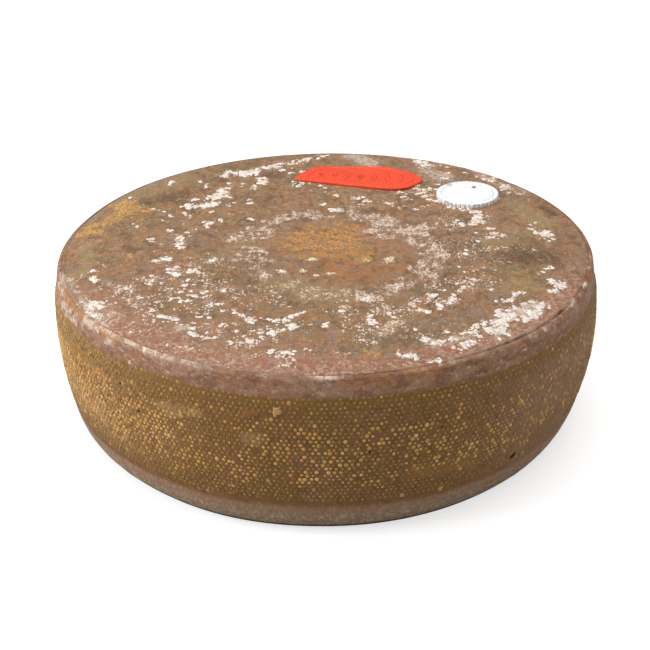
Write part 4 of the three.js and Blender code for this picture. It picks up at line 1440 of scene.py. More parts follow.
@dataclass
class Wheel:
    """The wheel's rind as one closed mesh with its real relief, and the values its material reads."""

    shape: WheelShape
    finish: RindFinish
    seats: list[tuple[Array, float]]
    segments: int = 600
    side_step: float = 1.45
    crease_step: float = 0.42
    band_step: float = 1.0
    top_step: float = 1.22
    base_shift: tuple[float, float, float] = (9.0, -14.0, 40.0)
    base_share: float = 0.45
    base_radii: tuple[float, ...] = (12.0, 36.0, 74.0, 104.0, 120.0, 127.0)
    halve_below: tuple[float, ...] = (74.0, 37.0, 18.0)
    grain_height: float = 0.09
    lump_height: float = 0.16
    nub_room: float = 0.25
    fill_height: float = 0.75
    foot_fade: tuple[float, float] = (0.2, 3.0)
    pit_cuts: int = 3
    pit_margin: float = 1.2
    piece: bpy.types.Object | None = field(default=None, init=False)

    def build(self) -> bpy.types.Object:
        """Makes the rind.

        Returns:
            The finished piece.
        """
        places, faces = surface_through([self._ring(*row) for row in self._rows()])
        self.piece = make_piece("rind", places, faces)
        self._refine_pits()
        self._sculpt()
        self.piece.data.materials.append(self.finish.build())
        return self.piece

    def _count(self, radius: float) -> int:
        """How many points a ring of some radius has: half as many inside each limit."""
        return self.segments >> sum(radius < limit for limit in self.halve_below)

    def _rows(self) -> list[tuple[float, float, int]]:
        """Radius, height and number of points of each ring, from the base's middle to the top's."""
        shape = self.shape
        rows = [(0.0, 0.0, 1)]
        rows += [(radius, 0.0, self._count(radius)) for radius in self.base_radii]
        for z in np.linspace(0, shape.side_top, round(shape.side_top / self.side_step) + 1)[:-1]:
            rows.append((float(shape.side_radius(z)), float(z), self.segments))
        keys = shape.crease_line()
        crease = smooth_line(keys[:8], self.crease_step)
        band = smooth_line(keys[7:], self.band_step)
        rows += [(float(radius), float(z), self.segments) for radius, z in np.vstack([crease, band[1:]])]
        inner = rows[-1][0]
        for radius in np.linspace(inner, 0, round(inner / self.top_step) + 1)[1:-1]:
            rows.append((float(radius), shape.height, self._count(float(radius))))
        return [*rows, (0.0, shape.height, 1)]

    def _ring(self, radius: float, z: float, count: int) -> Array:
        """One ring of vertices on the uneven surface."""
        return self.shape.settle(np.full(count, radius), directions(count), np.full(count, z))

    def _refine_pits(self) -> None:
        """Cuts the faces round each pit into finer ones."""
        mesh = self.piece.data
        work = bmesh.new()
        work.from_mesh(mesh)
        for pit in self.shape.pits:
            direction = math.radians(pit.direction)
            radius = float(self.shape.side_radius(np.array(pit.z)))
            middle = Vector((math.cos(direction) * radius, math.sin(direction) * radius, pit.z)) * MM
            reach = (max(pit.width, pit.height) / 2 + self.pit_margin) * MM
            near = [e for e in work.edges if all((v.co - middle).length < reach for v in e.verts)]
            bmesh.ops.subdivide_edges(work, edges=near, cuts=self.pit_cuts, use_grid_fill=True)
        bmesh.ops.triangulate(work, faces=[f for f in work.faces if len(f.verts) > 4])
        work.to_mesh(mesh)
        work.free()
        smooth(mesh)

    def _sculpt(self) -> None:
        """Stores what the material reads, and adds the finer relief."""
        shape = self.shape
        at = Spots(places_of(self.piece), shape)
        values = self._top_values(at) | self._side_values(at) | self._crease_values(at)
        pit = self._pit_depths(at)
        # the pits' depth sets how much painted shade they get
        values["pit"] = ease(pit, 0.12, 0.7)
        for name, value in values.items():
            store(self.piece, name, value)

        outward = np.stack([np.cos(at.direction), np.sin(at.direction), np.zeros_like(at.z)], axis=1)
        lift = self._relief(at, values)
        push = at.side * ease(at.z, *self.foot_fade) * (lift - values["net"] * self.nub_room) - pit
        moved = at.places + outward * push[:, None]
        moved[:, 2] += at.top * lift + self.fill_height * values["filled"] - self._seat_depths(at)
        move_places(self.piece, moved)

    def _warped(self, places: Array, reach: float, size: float, seed: int) -> Array:
        """Flat places pushed about by noise, so that drawn marks get ragged edges."""
        pushes = [rough_noise(places, size, seed + axis) for axis in (0, 1)]
        return places[:, :2] + reach * np.stack(pushes, axis=1)

    def _top_values(self, at: Spots) -> dict[str, Array]:
        """Every mark of the top face, mirrored in fainter form on the base."""
        mirrored = at.places * (-1, 1, 1) + self.base_shift
        drawn = np.where(at.under[:, None], mirrored, at.places)
        warped = self._warped(drawn, 1.5, 4.0, 3)
        soft = self._warped(drawn, 7.0, 22.0, 5)
        level = np.maximum(at.top, at.under)
        values: dict[str, Array] = {}
        for mark in Mark:
            ground = warped if mark in (Mark.BLOOM, Mark.LACE, Mark.DAMP) else soft
            drawn_marks = (stroke.mask(ground) for stroke in STROKES if stroke.mark is mark)
            values[mark.value] = any_of(drawn_marks) * level
        wide = (
            replace(stroke, width=1.6 * stroke.width + 3.5) for stroke in STROKES if stroke.mark is Mark.BLOOM
        )
        halo = any_of(stroke.mask(warped) for stroke in wide) * ease(rough_noise(drawn, 8, 15), -0.45, 0.35)
        clumps = rough_noise(drawn, 4.5, 11)
        thin = between(at.radius, 62, 136, 10) * ease(rough_noise(drawn, 20, 13), -0.6, 0.6)
        bloom = values[Mark.BLOOM.value]
        bloom = bloom * (0.7 + 1.0 * clumps) + (0.02 + 0.1 * thin + 0.25 * halo) * level
        bloom = np.clip(bloom, 0, 1)
        values[Mark.BLOOM.value] = np.where(at.under, self.base_share * bloom, bloom)
        values["strewn"] = bloom * at.top
        centre = values[Mark.OCHRE.value] + values[Mark.RUST.value]
        values["frost"] = np.clip(0.7 + 0.5 * rough_noise(drawn, 24, 23) - 0.7 * centre, 0.1, 1) * level
        dusty = between(at.radius, 54, 142, 8) * (0.07 + 0.25 * arc(at.direction, -172, -60, 24))
        dusty = dusty + 0.22 * between(at.radius, 66, 106, 8) * arc(at.direction, -62, 30, 12)
        clustered = ease(rough_noise(drawn, 9, 29), -0.35, 0.45)
        values["specks"] = (0.03 + 1.5 * dusty * clustered) * level
        haze = values[Mark.HAZE.value]
        values[Mark.HAZE.value] = np.clip(haze + 0.18 * ease(bloom, 0.3, 0.9), 0, 1)
        scattered = between(at.radius, 76, 136, 9) * ease(rough_noise(drawn, 26, 27), -0.3, 0.6)
        scattered = scattered * (0.12 + 0.24 * arc(at.direction, -160, -30, 18)) * level
        lace = values[Mark.LACE.value] * (1 + 0.5 * rough_noise(drawn, 9, 19))
        values[Mark.LACE.value] = np.clip(np.maximum(lace, scattered), 0, 1)
        front = 0.2 + 0.8 * arc(at.direction, -148, -18, 14)
        values["band"] = at.top * ease(at.radius + 4 * rough_noise(drawn, 14, 33), 124, 136) * front
        values["top"] = level
        return values

    def _side_values(self, at: Spots) -> dict[str, Array]:
        """Zones of the side, and its tints."""
        shape, z, side = self.shape, at.z, at.side
        wander = 1.6 * at.noise(26, 31)
        low_edge = shape.net_high - 1.2 + 1.4 * at.noise(30, 37)
        left = arc(at.direction, 172, 236, 18)
        gilt = 0.55 * left + 0.45 * arc(at.direction, 172, 208, 14)
        right = arc(at.direction, -52, 30, 16)
        back = arc(at.direction, 60, 130, 24)
        drift = at.noise(16, 41)
        across = np.arctan2(np.cos(at.direction), -np.sin(at.direction)) * shape.radius
        rolled = self._warped(np.stack([across, z, 0 * z], axis=1), 1.5, 3.6, 91)
        drawn = {}
        for mark in SideMark:
            lines = (stroke.rolled_out(shape.radius) for stroke in SIDE_STROKES if stroke.mark is mark)
            drawn[mark.value] = any_of(line.mask(rolled) for line in lines) * side
        below = 0.85 * between(z + wander, shape.net_high - 7, shape.net_high + 1, 3.0) * side * (1 - left)
        return drawn | {
            "net": between(z + 0.6 * wander, shape.net_low + 4, shape.net_high - 1.0, 2.2) * side,
            "shoulder": ease(z + 0.5 * wander, low_edge, low_edge + 2.4) * side,
            "below_shoulder": below,
            "foot": (1 - ease(z + 0.6 * wander, shape.net_low - 2.5, shape.net_low + 1.5)) * side,
            "foot_line": hump(z + 0.6 * wander, shape.net_low - 3.0, 4.0) * side,
            # painted contact shadow along the lowest few millimetres of the side
            "contact_shadow": (1 - ease(z + 0.3 * drift, 2.4, 4.4)) * side,
            "golden": np.clip((gilt + 0.4 * back) * (0.78 + 0.5 * drift) * ease(z, 20, 34), 0, 1),
            "mauve": np.clip(right * (0.7 + 0.6 * drift), 0, 1),
            "pale": self._pale_share(at, 0.52 * left - 0.1 * right + 0.2 * back),
        }

    def _crease_values(self, at: Spots) -> dict[str, Array]:
        """Painted shade in the crease under the rim, and the grey marks, dried whey and bloom that lie along
        it.
        """
        edge = at.z > self.shape.side_top
        off = np.hypot(at.places[:, 0], at.places[:, 1]) - self.shape.crease_radius
        off = off - 0.35 * at.noise(5, 43)
        beads = ease(at.noise(3.2, 53), -0.3, 0.3)
        broken = ease(at.noise(7, 59), -0.5, 0.1)
        dashes = ease(at.noise(4.0, 47), 0.05, 0.35)

        def along(stretches: Iterable[tuple[float, float, float]]) -> Array:
            """Strength of a mark along the rim, from rows of a start, an end and a strength."""
            return any_of(share * arc(at.direction, start, end, 2.5) for start, end, share in stretches)

        filled = np.maximum(arc(at.direction, 166, 262, 5), 0.8 * arc(at.direction, -72, 60, 8))
        groove = 1 - ease(np.abs(off), 0.1, 1.0)
        ridge = 1 - ease(np.abs(off - 0.7), 0.5, 1.7)
        wide = 1 - ease(np.abs(off + 0.5), 1.2, 3.4)
        specks = dashes * (0.2 * arc(at.direction, -66, -34, 6) + 0.8 * arc(at.direction, -31, -8, 4))
        return {
            # painted shade, strongest in the groove of the crease
            "crease_shade": groove * along(CREASE_SHADE) * (0.2 + 0.8 * beads) * edge,
            "crease_cream": ridge * np.maximum(along(CREASE_CREAM) * broken, specks) * edge,
            "crease_grey": wide * along(CREASE_GREY) * (0.4 + 0.6 * beads) * edge,
            "filled": hump(off, 0.0, 1.1) * (0.35 + 0.65 * filled) * edge,
        }

    def _pale_share(self, at: Spots, by_direction: Array) -> Array:
        """Share of the net marks that are rubbed pale at each place."""
        middle = between(at.z, 32, 65, 7)
        patches = 0.75 * at.noise(14, 61) + 0.35 * at.noise(5, 63)
        return np.clip((0.37 + patches + by_direction) * (0.12 + 0.88 * middle), 0, 1)

    def _pit_depths(self, at: Spots) -> Array:
        """Depth of the pits at each place."""
        depth = np.zeros(len(at.places))
        ragged = 1 + 0.28 * at.noise(1.8, 67)
        for pit in self.shape.pits:
            off = at.direction - math.radians(pit.direction)
            across = np.arctan2(np.sin(off), np.cos(off)) * self.shape.radius
            up = at.z - pit.z
            if pit.width > 4:
                across, up = across * 0.94 + up * 0.34, up * 0.94 - across * 0.34
            away = np.hypot(across / pit.width, up / pit.height) * 2
            depth = np.maximum(depth, pit.depth * (1 - ease(away * ragged, 0.35, 1.1)))
        return depth

    def _relief(self, at: Spots, values: dict[str, Array]) -> Array:
        """Finer relief above the even surface, in millimetres."""
        lumps = self.lump_height * at.noise(9.0, 71)
        grain = self.grain_height * at.noise(3.0, 73)
        crumbs = 0.3 * values["bloom"] * ease(at.noise(2.6, 79), -0.1, 0.6)
        cream = 0.35 * values["crease_cream"]
        return lumps + grain + crumbs * at.top + cream - 0.2 * values["damp"]

    def _seat_depths(self, at: Spots) -> Array:
        """How far the top face is pressed down under each label."""
        depth = np.zeros(len(at.places))
        for outline, sunk in self.seats:
            inside = inside_outline(at.places[:, :2], outline)
            depth = np.maximum(depth, sunk * ease(inside, 0.6, 1.8))
        return depth * at.top

    def surface_at(self, x: float, y: float) -> tuple[Vector, Vector]:
        """The place on the top face above a point, in metres, and which way is out there."""
        sunk = float(self.shape.top_relief(np.array([x]), np.array([y]))[0])
        return Vector((x, y, self.shape.height - sunk)) * MM, Vector((0, 0, 1))

    def side_at(self, direction: float, z: float) -> tuple[Vector, Vector]:
        """The place on the side at a direction and height, in metres, and which way is out there."""
        angle = math.radians(direction)
        radius = float(self.shape.side_radius(np.array(z)))
        place = self.shape.settle(np.array([radius]), np.array([angle]), np.array([z]))[0]
        return Vector(place) * MM, Vector((math.cos(angle), math.sin(angle), 0))


# ---- Net marks and flakes, by Geometry Nodes -----------------------------------------------


def in_use(sockets: Iterable[Socket], name: str) -> Socket:
    """The socket of a name that its node uses for its present type of data."""
    return next(socket for socket in sockets if socket.name == name and socket.enabled)


class GeometryTree(Wires):
    """A Geometry Nodes tree with a mesh and named numbers as its inputs."""

    def __init__(self, name: str, numbers: dict[str, float]) -> None:
        """Makes the tree and its sockets."""
        super().__init__(bpy.data.node_groups.new(name, "GeometryNodeTree"))
        face = self.tree.interface
        face.new_socket(name="Mesh", in_out="INPUT", socket_type="NodeSocketGeometry")
        self.identifiers: dict[str, str] = {}
        for label, default in numbers.items():
            socket = face.new_socket(name=label, in_out="INPUT", socket_type="NodeSocketFloat")
            socket.default_value = default
            self.identifiers[label] = socket.identifier
        face.new_socket(name="Mesh", in_out="OUTPUT", socket_type="NodeSocketGeometry")
        self.given = self.node("NodeGroupInput")
        self.mesh = self.given.outputs["Mesh"]

    def number(self, label: str) -> Socket:
        """One of the tree's named numbers."""
        return self.given.outputs[label]

    def named(self, name: str, data_type: str = "FLOAT") -> Socket:
        """A value that the geometry carries."""
        made = self.node("GeometryNodeInputNamedAttribute", data_type=data_type, Name=name)
        return made.outputs["Attribute"]

    def random(self, low: Wire, high: Wire, seed: int) -> Socket:
        """A random number for each element."""
        made = self.node("FunctionNodeRandomValue", data_type="FLOAT", Seed=seed)
        floats = [s for s in made.inputs if s.type == "VALUE" and s.name in ("Min", "Max")]
        for socket, value in zip(floats, (low, high)):
            self.feed(socket, value)
        return in_use(made.outputs, "Value")

    def vector(self, x: Wire, y: Wire, z: Wire) -> Socket:
        """Three numbers as a vector."""
        return self.fed("ShaderNodeCombineXYZ", (x, y, z))

    def copies(self, shape: bpy.types.Object | bpy.types.Collection) -> Socket:
        """An object, or each object of a collection, as something to place copies of."""
        if isinstance(shape, bpy.types.Object):
            return self.node("GeometryNodeObjectInfo", Object=shape, As_Instance=True).outputs["Geometry"]
        settings = {"Collection": shape, "Separate_Children": True, "Reset_Children": True}
        return self.node("GeometryNodeCollectionInfo", **settings).outputs["Instances"]

    def keep(
        self, geometry: Socket, name: str, value: Wire, domain: str, data_type: str = "FLOAT"
    ) -> Socket:
        """Stores a value on each element of a geometry under a name."""
        settings = {"data_type": data_type, "domain": domain, "Geometry": geometry, "Name": name}
        made = self.node("GeometryNodeStoreNamedAttribute", **settings)
        self.feed(in_use(made.inputs, "Value"), value)
        return made.outputs["Geometry"]

    def finish(self, instances: Socket, material: bpy.types.Material) -> None:
        """Ends the tree: real geometry from the copies, with their material."""
        real = self.node("GeometryNodeRealizeInstances", Geometry=instances).outputs[0]
        dressed = self.node("GeometryNodeSetMaterial", Geometry=real, Material=material).outputs[0]
        self.node("NodeGroupOutput", Mesh=dressed)

    def run(self, carrier: bpy.types.Object, name: str, numbers: dict[str, float]) -> bpy.types.Object:
        """Applies the tree to a copy of a piece and gives the plain result.

        Args:
            carrier: The piece whose mesh goes in.
            name: The new piece's name.
            numbers: Values for the tree's named inputs.

        Returns:
            The new piece.
        """
        source = show(name + "_source", carrier.data)
        modifier = source.modifiers.new("tree", "NODES")
        modifier.node_group = self.tree
        for label, value in numbers.items():
            modifier[self.identifiers[label]] = value
        graph = bpy.context.evaluated_depsgraph_get()
        mesh = bpy.data.meshes.new_from_object(source.evaluated_get(graph))
        mesh.name = name
        smooth(mesh)
        source.modifiers.clear()
        bpy.data.objects.remove(source)
        return show(name, mesh)


def low_dome(name: str, sides: int, rings: Sequence[Point], ragged: float, seed: int) -> bpy.types.Object:
    """A small closed-topped dome of unit radius, as a helper object to place copies of.

    Args:
        name: The helper's name.
        sides: How many sides it has.
        rings: Radius and height of each ring, from the foot up.
        ragged: How far its outline wanders, as a share of its radius.
        seed: Which wandering to draw.

    Returns:
        The helper, which isn't linked to the scene.
    """
    draw = np.random.default_rng(seed)
    wander = 1 + ragged * draw.uniform(-1, 1, sides)
    angle = 2 * np.pi * (np.arange(sides) + ragged * draw.uniform(-0.6, 0.6, sides)) / sides
    loops = [ring_of(radius * wander, angle, height) for radius, height in rings]
    peak = rings[-1][1] * (1 + 0.15 * (ragged > 0)) + 0.02
    return bpy.data.objects.new(name, make_mesh(name, *surface_through([*loops, middle_place(peak)])))


@dataclass
class NetMarks:
    """Rows of nubs that the mould's net leaves round the side, each row half a step on."""

    wheel: Wheel
    effects: Effects
    per_row: int = 336
    row_step: float = 2.2
    size: float = 0.84
    height: float = 0.34
    slip: float = 0.17
    rise: float = 0.14
    missing: float = 0.06
    seed: int = 5

    def build(self) -> list[bpy.types.Object]:
        """Makes the rubbed nubs and the dull ones.

        Returns:
            One piece for each kind.
        """
        shape = self.wheel.shape
        rings = ((1.05, -0.3), (1.0, 0.25), (0.66, 0.85))
        numbers = {
            "Per Row": float(self.per_row),
            "Row Step": self.row_step * MM,
            "Lowest": (shape.net_low + 0.8) * MM,
            "Rows": float(math.ceil((shape.net_high - shape.net_low) / self.row_step)),
            "Size": self.size * MM,
            "Height": self.height * MM,
        }
        tones = {
            "rubbed_nubs": (srgb(178, 134, 66), srgb(202, 156, 84), srgb(228, 184, 118), srgb(218, 150, 70)),
            "dull_nubs": (srgb(142, 106, 54), srgb(160, 122, 66), srgb(182, 144, 86), srgb(178, 146, 104)),
        }
        pieces = []
        for name, colours in tones.items():
            rubbed = name == "rubbed_nubs"
            nub = low_dome("nub_shape", 8 if rubbed else 6, rings, 0.0, 1)
            material = NubFinish(name, self.effects, *colours).build()
            tree = self._tree(name, nub, material, numbers, rubbed)
            pieces.append(tree.run(self.wheel.piece, name, numbers))
            bpy.data.objects.remove(nub)
        return pieces

    def _tree(
        self,
        name: str,
        nub: bpy.types.Object,
        material: bpy.types.Material,
        numbers: dict[str, float],
        pale: bool,
    ) -> GeometryTree:
        """Lays out the rows, drops each nub onto the rind and keeps those of one kind."""
        tree = GeometryTree("lay_" + name, numbers)
        per_row, rows = tree.number("Per Row"), tree.number("Rows")
        index = tree.node("GeometryNodeInputIndex").outputs[0]
        row = tree.math("FLOOR", tree.math("DIVIDE", index, per_row))
        column = tree.math("SUBTRACT", index, tree.product(row, per_row))
        half = tree.product(tree.math("MODULO", row, 2.0), 0.5)
        slip = tree.random(-self.slip, self.slip, self.seed)
        angle = tree.product(tree.math("DIVIDE", tree.total(column, half, slip), per_row), 2 * math.pi)
        cosine, sine = tree.math("COSINE", angle), tree.math("SINE", angle)
        level = tree.total(row, tree.random(-self.rise, self.rise, self.seed + 1))
        level = tree.total(tree.product(level, tree.number("Row Step")), tree.number("Lowest"))
        start = 1.3 * self.wheel.shape.radius * MM
        place = tree.vector(tree.product(cosine, start), tree.product(sine, start), level)
        points = tree.node("GeometryNodePoints", Count=tree.product(per_row, rows), Position=place)

        share, ray = self._hit(tree, "pale", start)
        zone, _ = self._hit(tree, "net", start)
        held = tree.keep(points.outputs[0], "zone", zone, "POINT")
        held = tree.keep(held, "share", share, "POINT")
        outward = ray.outputs["Hit Normal"]
        turn = tree.node("FunctionNodeAlignRotationToVector", axis="Z", Vector=outward).outputs[0]
        held = tree.keep(held, "turn", turn, "POINT", "QUATERNION")
        found = ray.outputs["Hit Position"]
        moved = tree.node("GeometryNodeSetPosition", Geometry=held, Position=found).outputs[0]

        luck = tree.random(0.0, 1.0, self.seed + 2)
        chosen = tree.math("LESS_THAN", luck, tree.named("share"))
        if not pale:
            chosen = tree.math("SUBTRACT", 1.0, chosen)
        whole = tree.math("GREATER_THAN", tree.random(0.0, 1.0, self.seed + 3), self.missing)
        inside = tree.math("GREATER_THAN", tree.named("zone"), 0.3)
        kept = tree.product(chosen, whole, inside)
        lost = tree.math("LESS_THAN", kept, 0.5)
        left = tree.node("GeometryNodeDeleteGeometry", domain="POINT", Geometry=moved, Selection=lost)

        least, most = (0.7, 1.32) if pale else (0.72, 1.02)
        wide = tree.product(tree.random(least, most, self.seed + 4), tree.number("Size"))
        tall = tree.product(wide, tree.random(0.85, 1.18, self.seed + 5))
        grown = tree.rise(tree.named("zone"), 0.2, 0.9)
        rise = tree.product(tree.random(0.6, 1.1, self.seed + 6), tree.number("Height"), grown)
        placed = tree.node(
            "GeometryNodeInstanceOnPoints",
            Points=left.outputs[0],
            Instance=tree.copies(nub),
            Rotation=tree.named("turn", "QUATERNION"),
            Scale=tree.vector(wide, tall, rise),
        )
        tone = tree.total(tree.random(0.0, 0.7, self.seed + 7), tree.product(tree.named("share"), 0.36))
        toned = tree.keep(placed.outputs[0], "tone", tone, "INSTANCE")
        toned = tree.keep(toned, "luck", tree.random(0.0, 1.0, self.seed + 8), "INSTANCE")
        tree.finish(toned, material)
        return tree

    def _hit(self, tree: GeometryTree, name: str, reach: float) -> tuple[Socket, bpy.types.Node]:
        """Looks from each point to the axis: a value of the rind where it hits, and the ray's node."""
        place = tree.node("GeometryNodeInputPosition").outputs[0]
        inward = tree.stretched(place, -1.0, -1.0, 0.0)
        settings = {"Target_Geometry": tree.mesh, "Ray_Direction": inward, "Ray_Length": reach}
        ray = tree.node("GeometryNodeRaycast", data_type="FLOAT", **settings)
        tree.feed(in_use(ray.inputs, "Attribute"), tree.named(name))
        return in_use(ray.outputs, "Attribute"), ray


@dataclass
class Flakes:
    """Loose flakes of dried bloom, thick where the bloom is and thin elsewhere."""

    wheel: Wheel
    finish: FlakeFinish
    density: float = 2600000.0
    reach: tuple[float, float] = (0.26, 1.5)
    crumb_sides: int = 7
    seed: int = 21

    def build(self) -> list[bpy.types.Object]:
        """Makes the scattered flakes and the few larger ones.

        Returns:
            The two pieces.
        """
        material = self.finish.build()
        shapes = bpy.data.collections.new("flake_shapes")
        rings = ((1.0, -0.1), (0.74, 0.24))
        for number in range(6):
            shapes.objects.link(low_dome(f"flake_shape_{number}", 6, rings, 0.34, 30 + number))
        numbers = {
            "Density": self.density,
            "Smallest": self.reach[0] * MM,
            "Largest": self.reach[1] * MM,
        }
        scattered = self._tree(shapes, material, numbers).run(self.wheel.piece, "small_flakes", numbers)
        for helper in list(shapes.objects):
            bpy.data.objects.remove(helper)
        bpy.data.collections.remove(shapes)
        return [scattered, self._large(material)]

    def _tree(
        self, shapes: bpy.types.Collection, material: bpy.types.Material, numbers: dict[str, float]
    ) -> GeometryTree:
        """Scatters flakes over the top by the bloom's density."""
        tree = GeometryTree("scatter_flakes", numbers)
        bloom = tree.named("strewn")
        place = tree.node("GeometryNodeInputPosition").outputs[0]
        mask, thickness = tree.crumbs(tree.stretched(place, *[1 / MM] * 3), bloom)
        share = tree.product(mask, tree.total(thickness, 0.15))
        strewn = tree.node(
            "GeometryNodeDistributePointsOnFaces",
            distribute_method="RANDOM",
            Mesh=tree.mesh,
            Density=tree.product(share, tree.number("Density")),
            Seed=self.seed,
        )
        luck = tree.math("POWER", tree.random(0.0, 1.0, self.seed + 1), 4.0)
        spread = tree.math("SUBTRACT", tree.number("Largest"), tree.number("Smallest"))
        grown = tree.total(tree.product(luck, spread), tree.number("Smallest"))
        long = tree.product(grown, tree.random(0.7, 1.5, self.seed + 2))
        thickness = tree.product(grown, tree.random(0.4, 0.8, self.seed + 3))
        placed = tree.node(
            "GeometryNodeInstanceOnPoints",
            Points=strewn.outputs["Points"],
            Instance=tree.copies(shapes),
            Pick_Instance=True,
            Rotation=strewn.outputs["Rotation"],
            Scale=tree.vector(grown, long, thickness),
        )
        spin = tree.vector(0.0, 0.0, tree.random(0.0, 6.28, self.seed + 4))
        spun = tree.node("GeometryNodeRotateInstances", Instances=placed.outputs[0], Rotation=spin)
        toned = tree.keep(spun.outputs[0], "tone", tree.random(0.6, 1.15, self.seed + 5), "INSTANCE")
        tree.finish(toned, material)
        return tree

    def _large(self, material: bpy.types.Material) -> bpy.types.Object:
        """Makes the few larger flakes, each with a ragged outline of its own."""
        made = [
            (self.wheel.surface_at(lump.x, lump.y), self._patch(lump.size, number), (lump.tone, lump.warm))
            for number, lump in enumerate(LUMPS)
        ]
        for number, spot in enumerate(SIDE_SPOTS):
            part = self._ragged_flake(spot.size, number)
            made.append((self.wheel.side_at(spot.direction, spot.z), part, (spot.tone, 0.0)))
        parts: list[tuple[Array, Faces]] = []
        tones: list[tuple[float, float]] = []
        for (spot, outward), (places, faces), tone in made:
            frame = outward.to_track_quat("Z", "Y").to_matrix()
            parts.append((np.array([spot + frame @ (Vector(place) * MM) for place in places]) / MM, faces))
            tones += [tone] * len(places)
        piece = make_piece("large_flakes", *joined(parts))
        draw = np.random.default_rng(7)
        store(piece, "tone", np.array(tones)[:, 0] + draw.uniform(-0.12, 0.08, len(tones)))
        store(piece, "warm", np.array(tones)[:, 1])
        piece.data.materials.append(material)
        return piece

    def _patch(self, size: float, number: int) -> tuple[Array, Faces]:
        """A flat heap of small crumbs about the origin, thickest in its middle."""
        draw = np.random.default_rng(200 + number)
        angle = directions(self.crumb_sides)
        spin, flat = draw.uniform(0, math.pi), draw.uniform(0.5, 0.85)
        crumbs = []
        for _ in range(round(5 + 1.1 * size**2)):
            away, turn = 1.25 * draw.uniform(0, 1) ** 0.7, draw.uniform(0, 2 * math.pi)
            x, y = turned(away * math.cos(turn), away * math.sin(turn) * flat, spin)
            middle = np.array([size / 2 * x, size / 2 * y, 0.0])
            reach = draw.uniform(0.25, 0.75) * (1.0 - 0.4 * away)
            top = reach * draw.uniform(0.35, 0.7) + 0.25 * (1 - away)
            rings = []
            for share, height in ((1.1, -0.3), (1.0, 0.3 * top), (0.6, 0.9 * top)):
                wide = reach * share * (1 + 0.3 * draw.uniform(-1, 1, self.crumb_sides))
                rings.append(ring_of(wide, angle, height) + middle)
            crumbs.append(surface_through([*rings, middle_place(top) + middle]))
        return joined(crumbs)

    def _ragged_flake(self, size: float, number: int) -> tuple[Array, Faces]:
        """One larger flake about the origin, with a lumpy top and a torn edge."""
        sides, rings = 26, 4
        draw = np.random.default_rng(100 + number)
        angle = directions(sides)
        edge = np.ones(sides)
        for wave in (3, 4, 6, 9):
            edge += 0.4 / wave * draw.uniform(0.3, 1.0) * np.sin(wave * angle + draw.uniform(0, 6.28))
        stretch = draw.uniform(0.75, 1.0)
        spin = draw.uniform(0, math.pi)
        thickness = 0.16 + 0.04 * size
        loops = []
        for ring in range(rings):
            share = 1 - ring / rings
            lumpy = 1.0 if ring == 0 else 1 + 0.3 * draw.uniform(-1, 1, sides)
            height = -0.25 if ring == 0 else thickness * (1 - share**4) * lumpy
            reach = size / 2 * edge * (1.0 if ring == 0 else share + 0.12)
            x, y = turned(reach * np.cos(angle), reach * np.sin(angle) * stretch, spin)
            loops.append(np.stack([x, y, np.broadcast_to(height, sides)], axis=1))
        return surface_through([*loops, middle_place(thickness)])


# ---- The labels ----------------------------------------------------------------------------


@dataclass(frozen=True)
class Seat:
    """Where a label sits: its middle, its turn and the height of its underside."""

    x: float
    y: float
    z: float
    turn: float

    def place(self, places: Array) -> Array:
        """Moves places drawn about a label's own middle to where the label sits."""
        x, y = turned(places[:, 0], places[:, 1], math.radians(self.turn))
        return np.stack([x + self.x, y + self.y, places[:, 2] + self.z], axis=1)


def rounded_outline(corners: Sequence[Point], rounding: float, steps: int) -> Array:
    """A closed outline with its corners rounded.

    Args:
        corners: The corners, anticlockwise.
        rounding: How far from a corner its rounding starts.
        steps: How many places each rounding has.

    Returns:
        One flat place per row.
    """
    points = np.array(corners, dtype=float)
    share = np.linspace(0, 1, steps)[:, None]
    parts = []
    for before, corner, after in zip(np.roll(points, 1, 0), points, np.roll(points, -1, 0)):
        back, ahead = np.hypot(*(before - corner)), np.hypot(*(after - corner))
        reach = min(rounding, back / 2.2, ahead / 2.2)
        start = corner + (before - corner) * reach / back
        end = corner + (after - corner) * reach / ahead
        parts.append((1 - share) ** 2 * start + 2 * share * (1 - share) * corner + share**2 * end)
    return np.vstack(parts)


def even_outline(outline: Array, count: int) -> Array:
    """A closed outline as evenly spaced places."""
    closed = np.vstack([outline, outline[:1]])
    run = np.concatenate([[0], np.cumsum(np.hypot(*np.diff(closed, axis=0).T))])
    stops = np.linspace(0, run[-1], count, endpoint=False)
    return np.stack([np.interp(stops, run, closed[:, axis]) for axis in (0, 1)], axis=1)


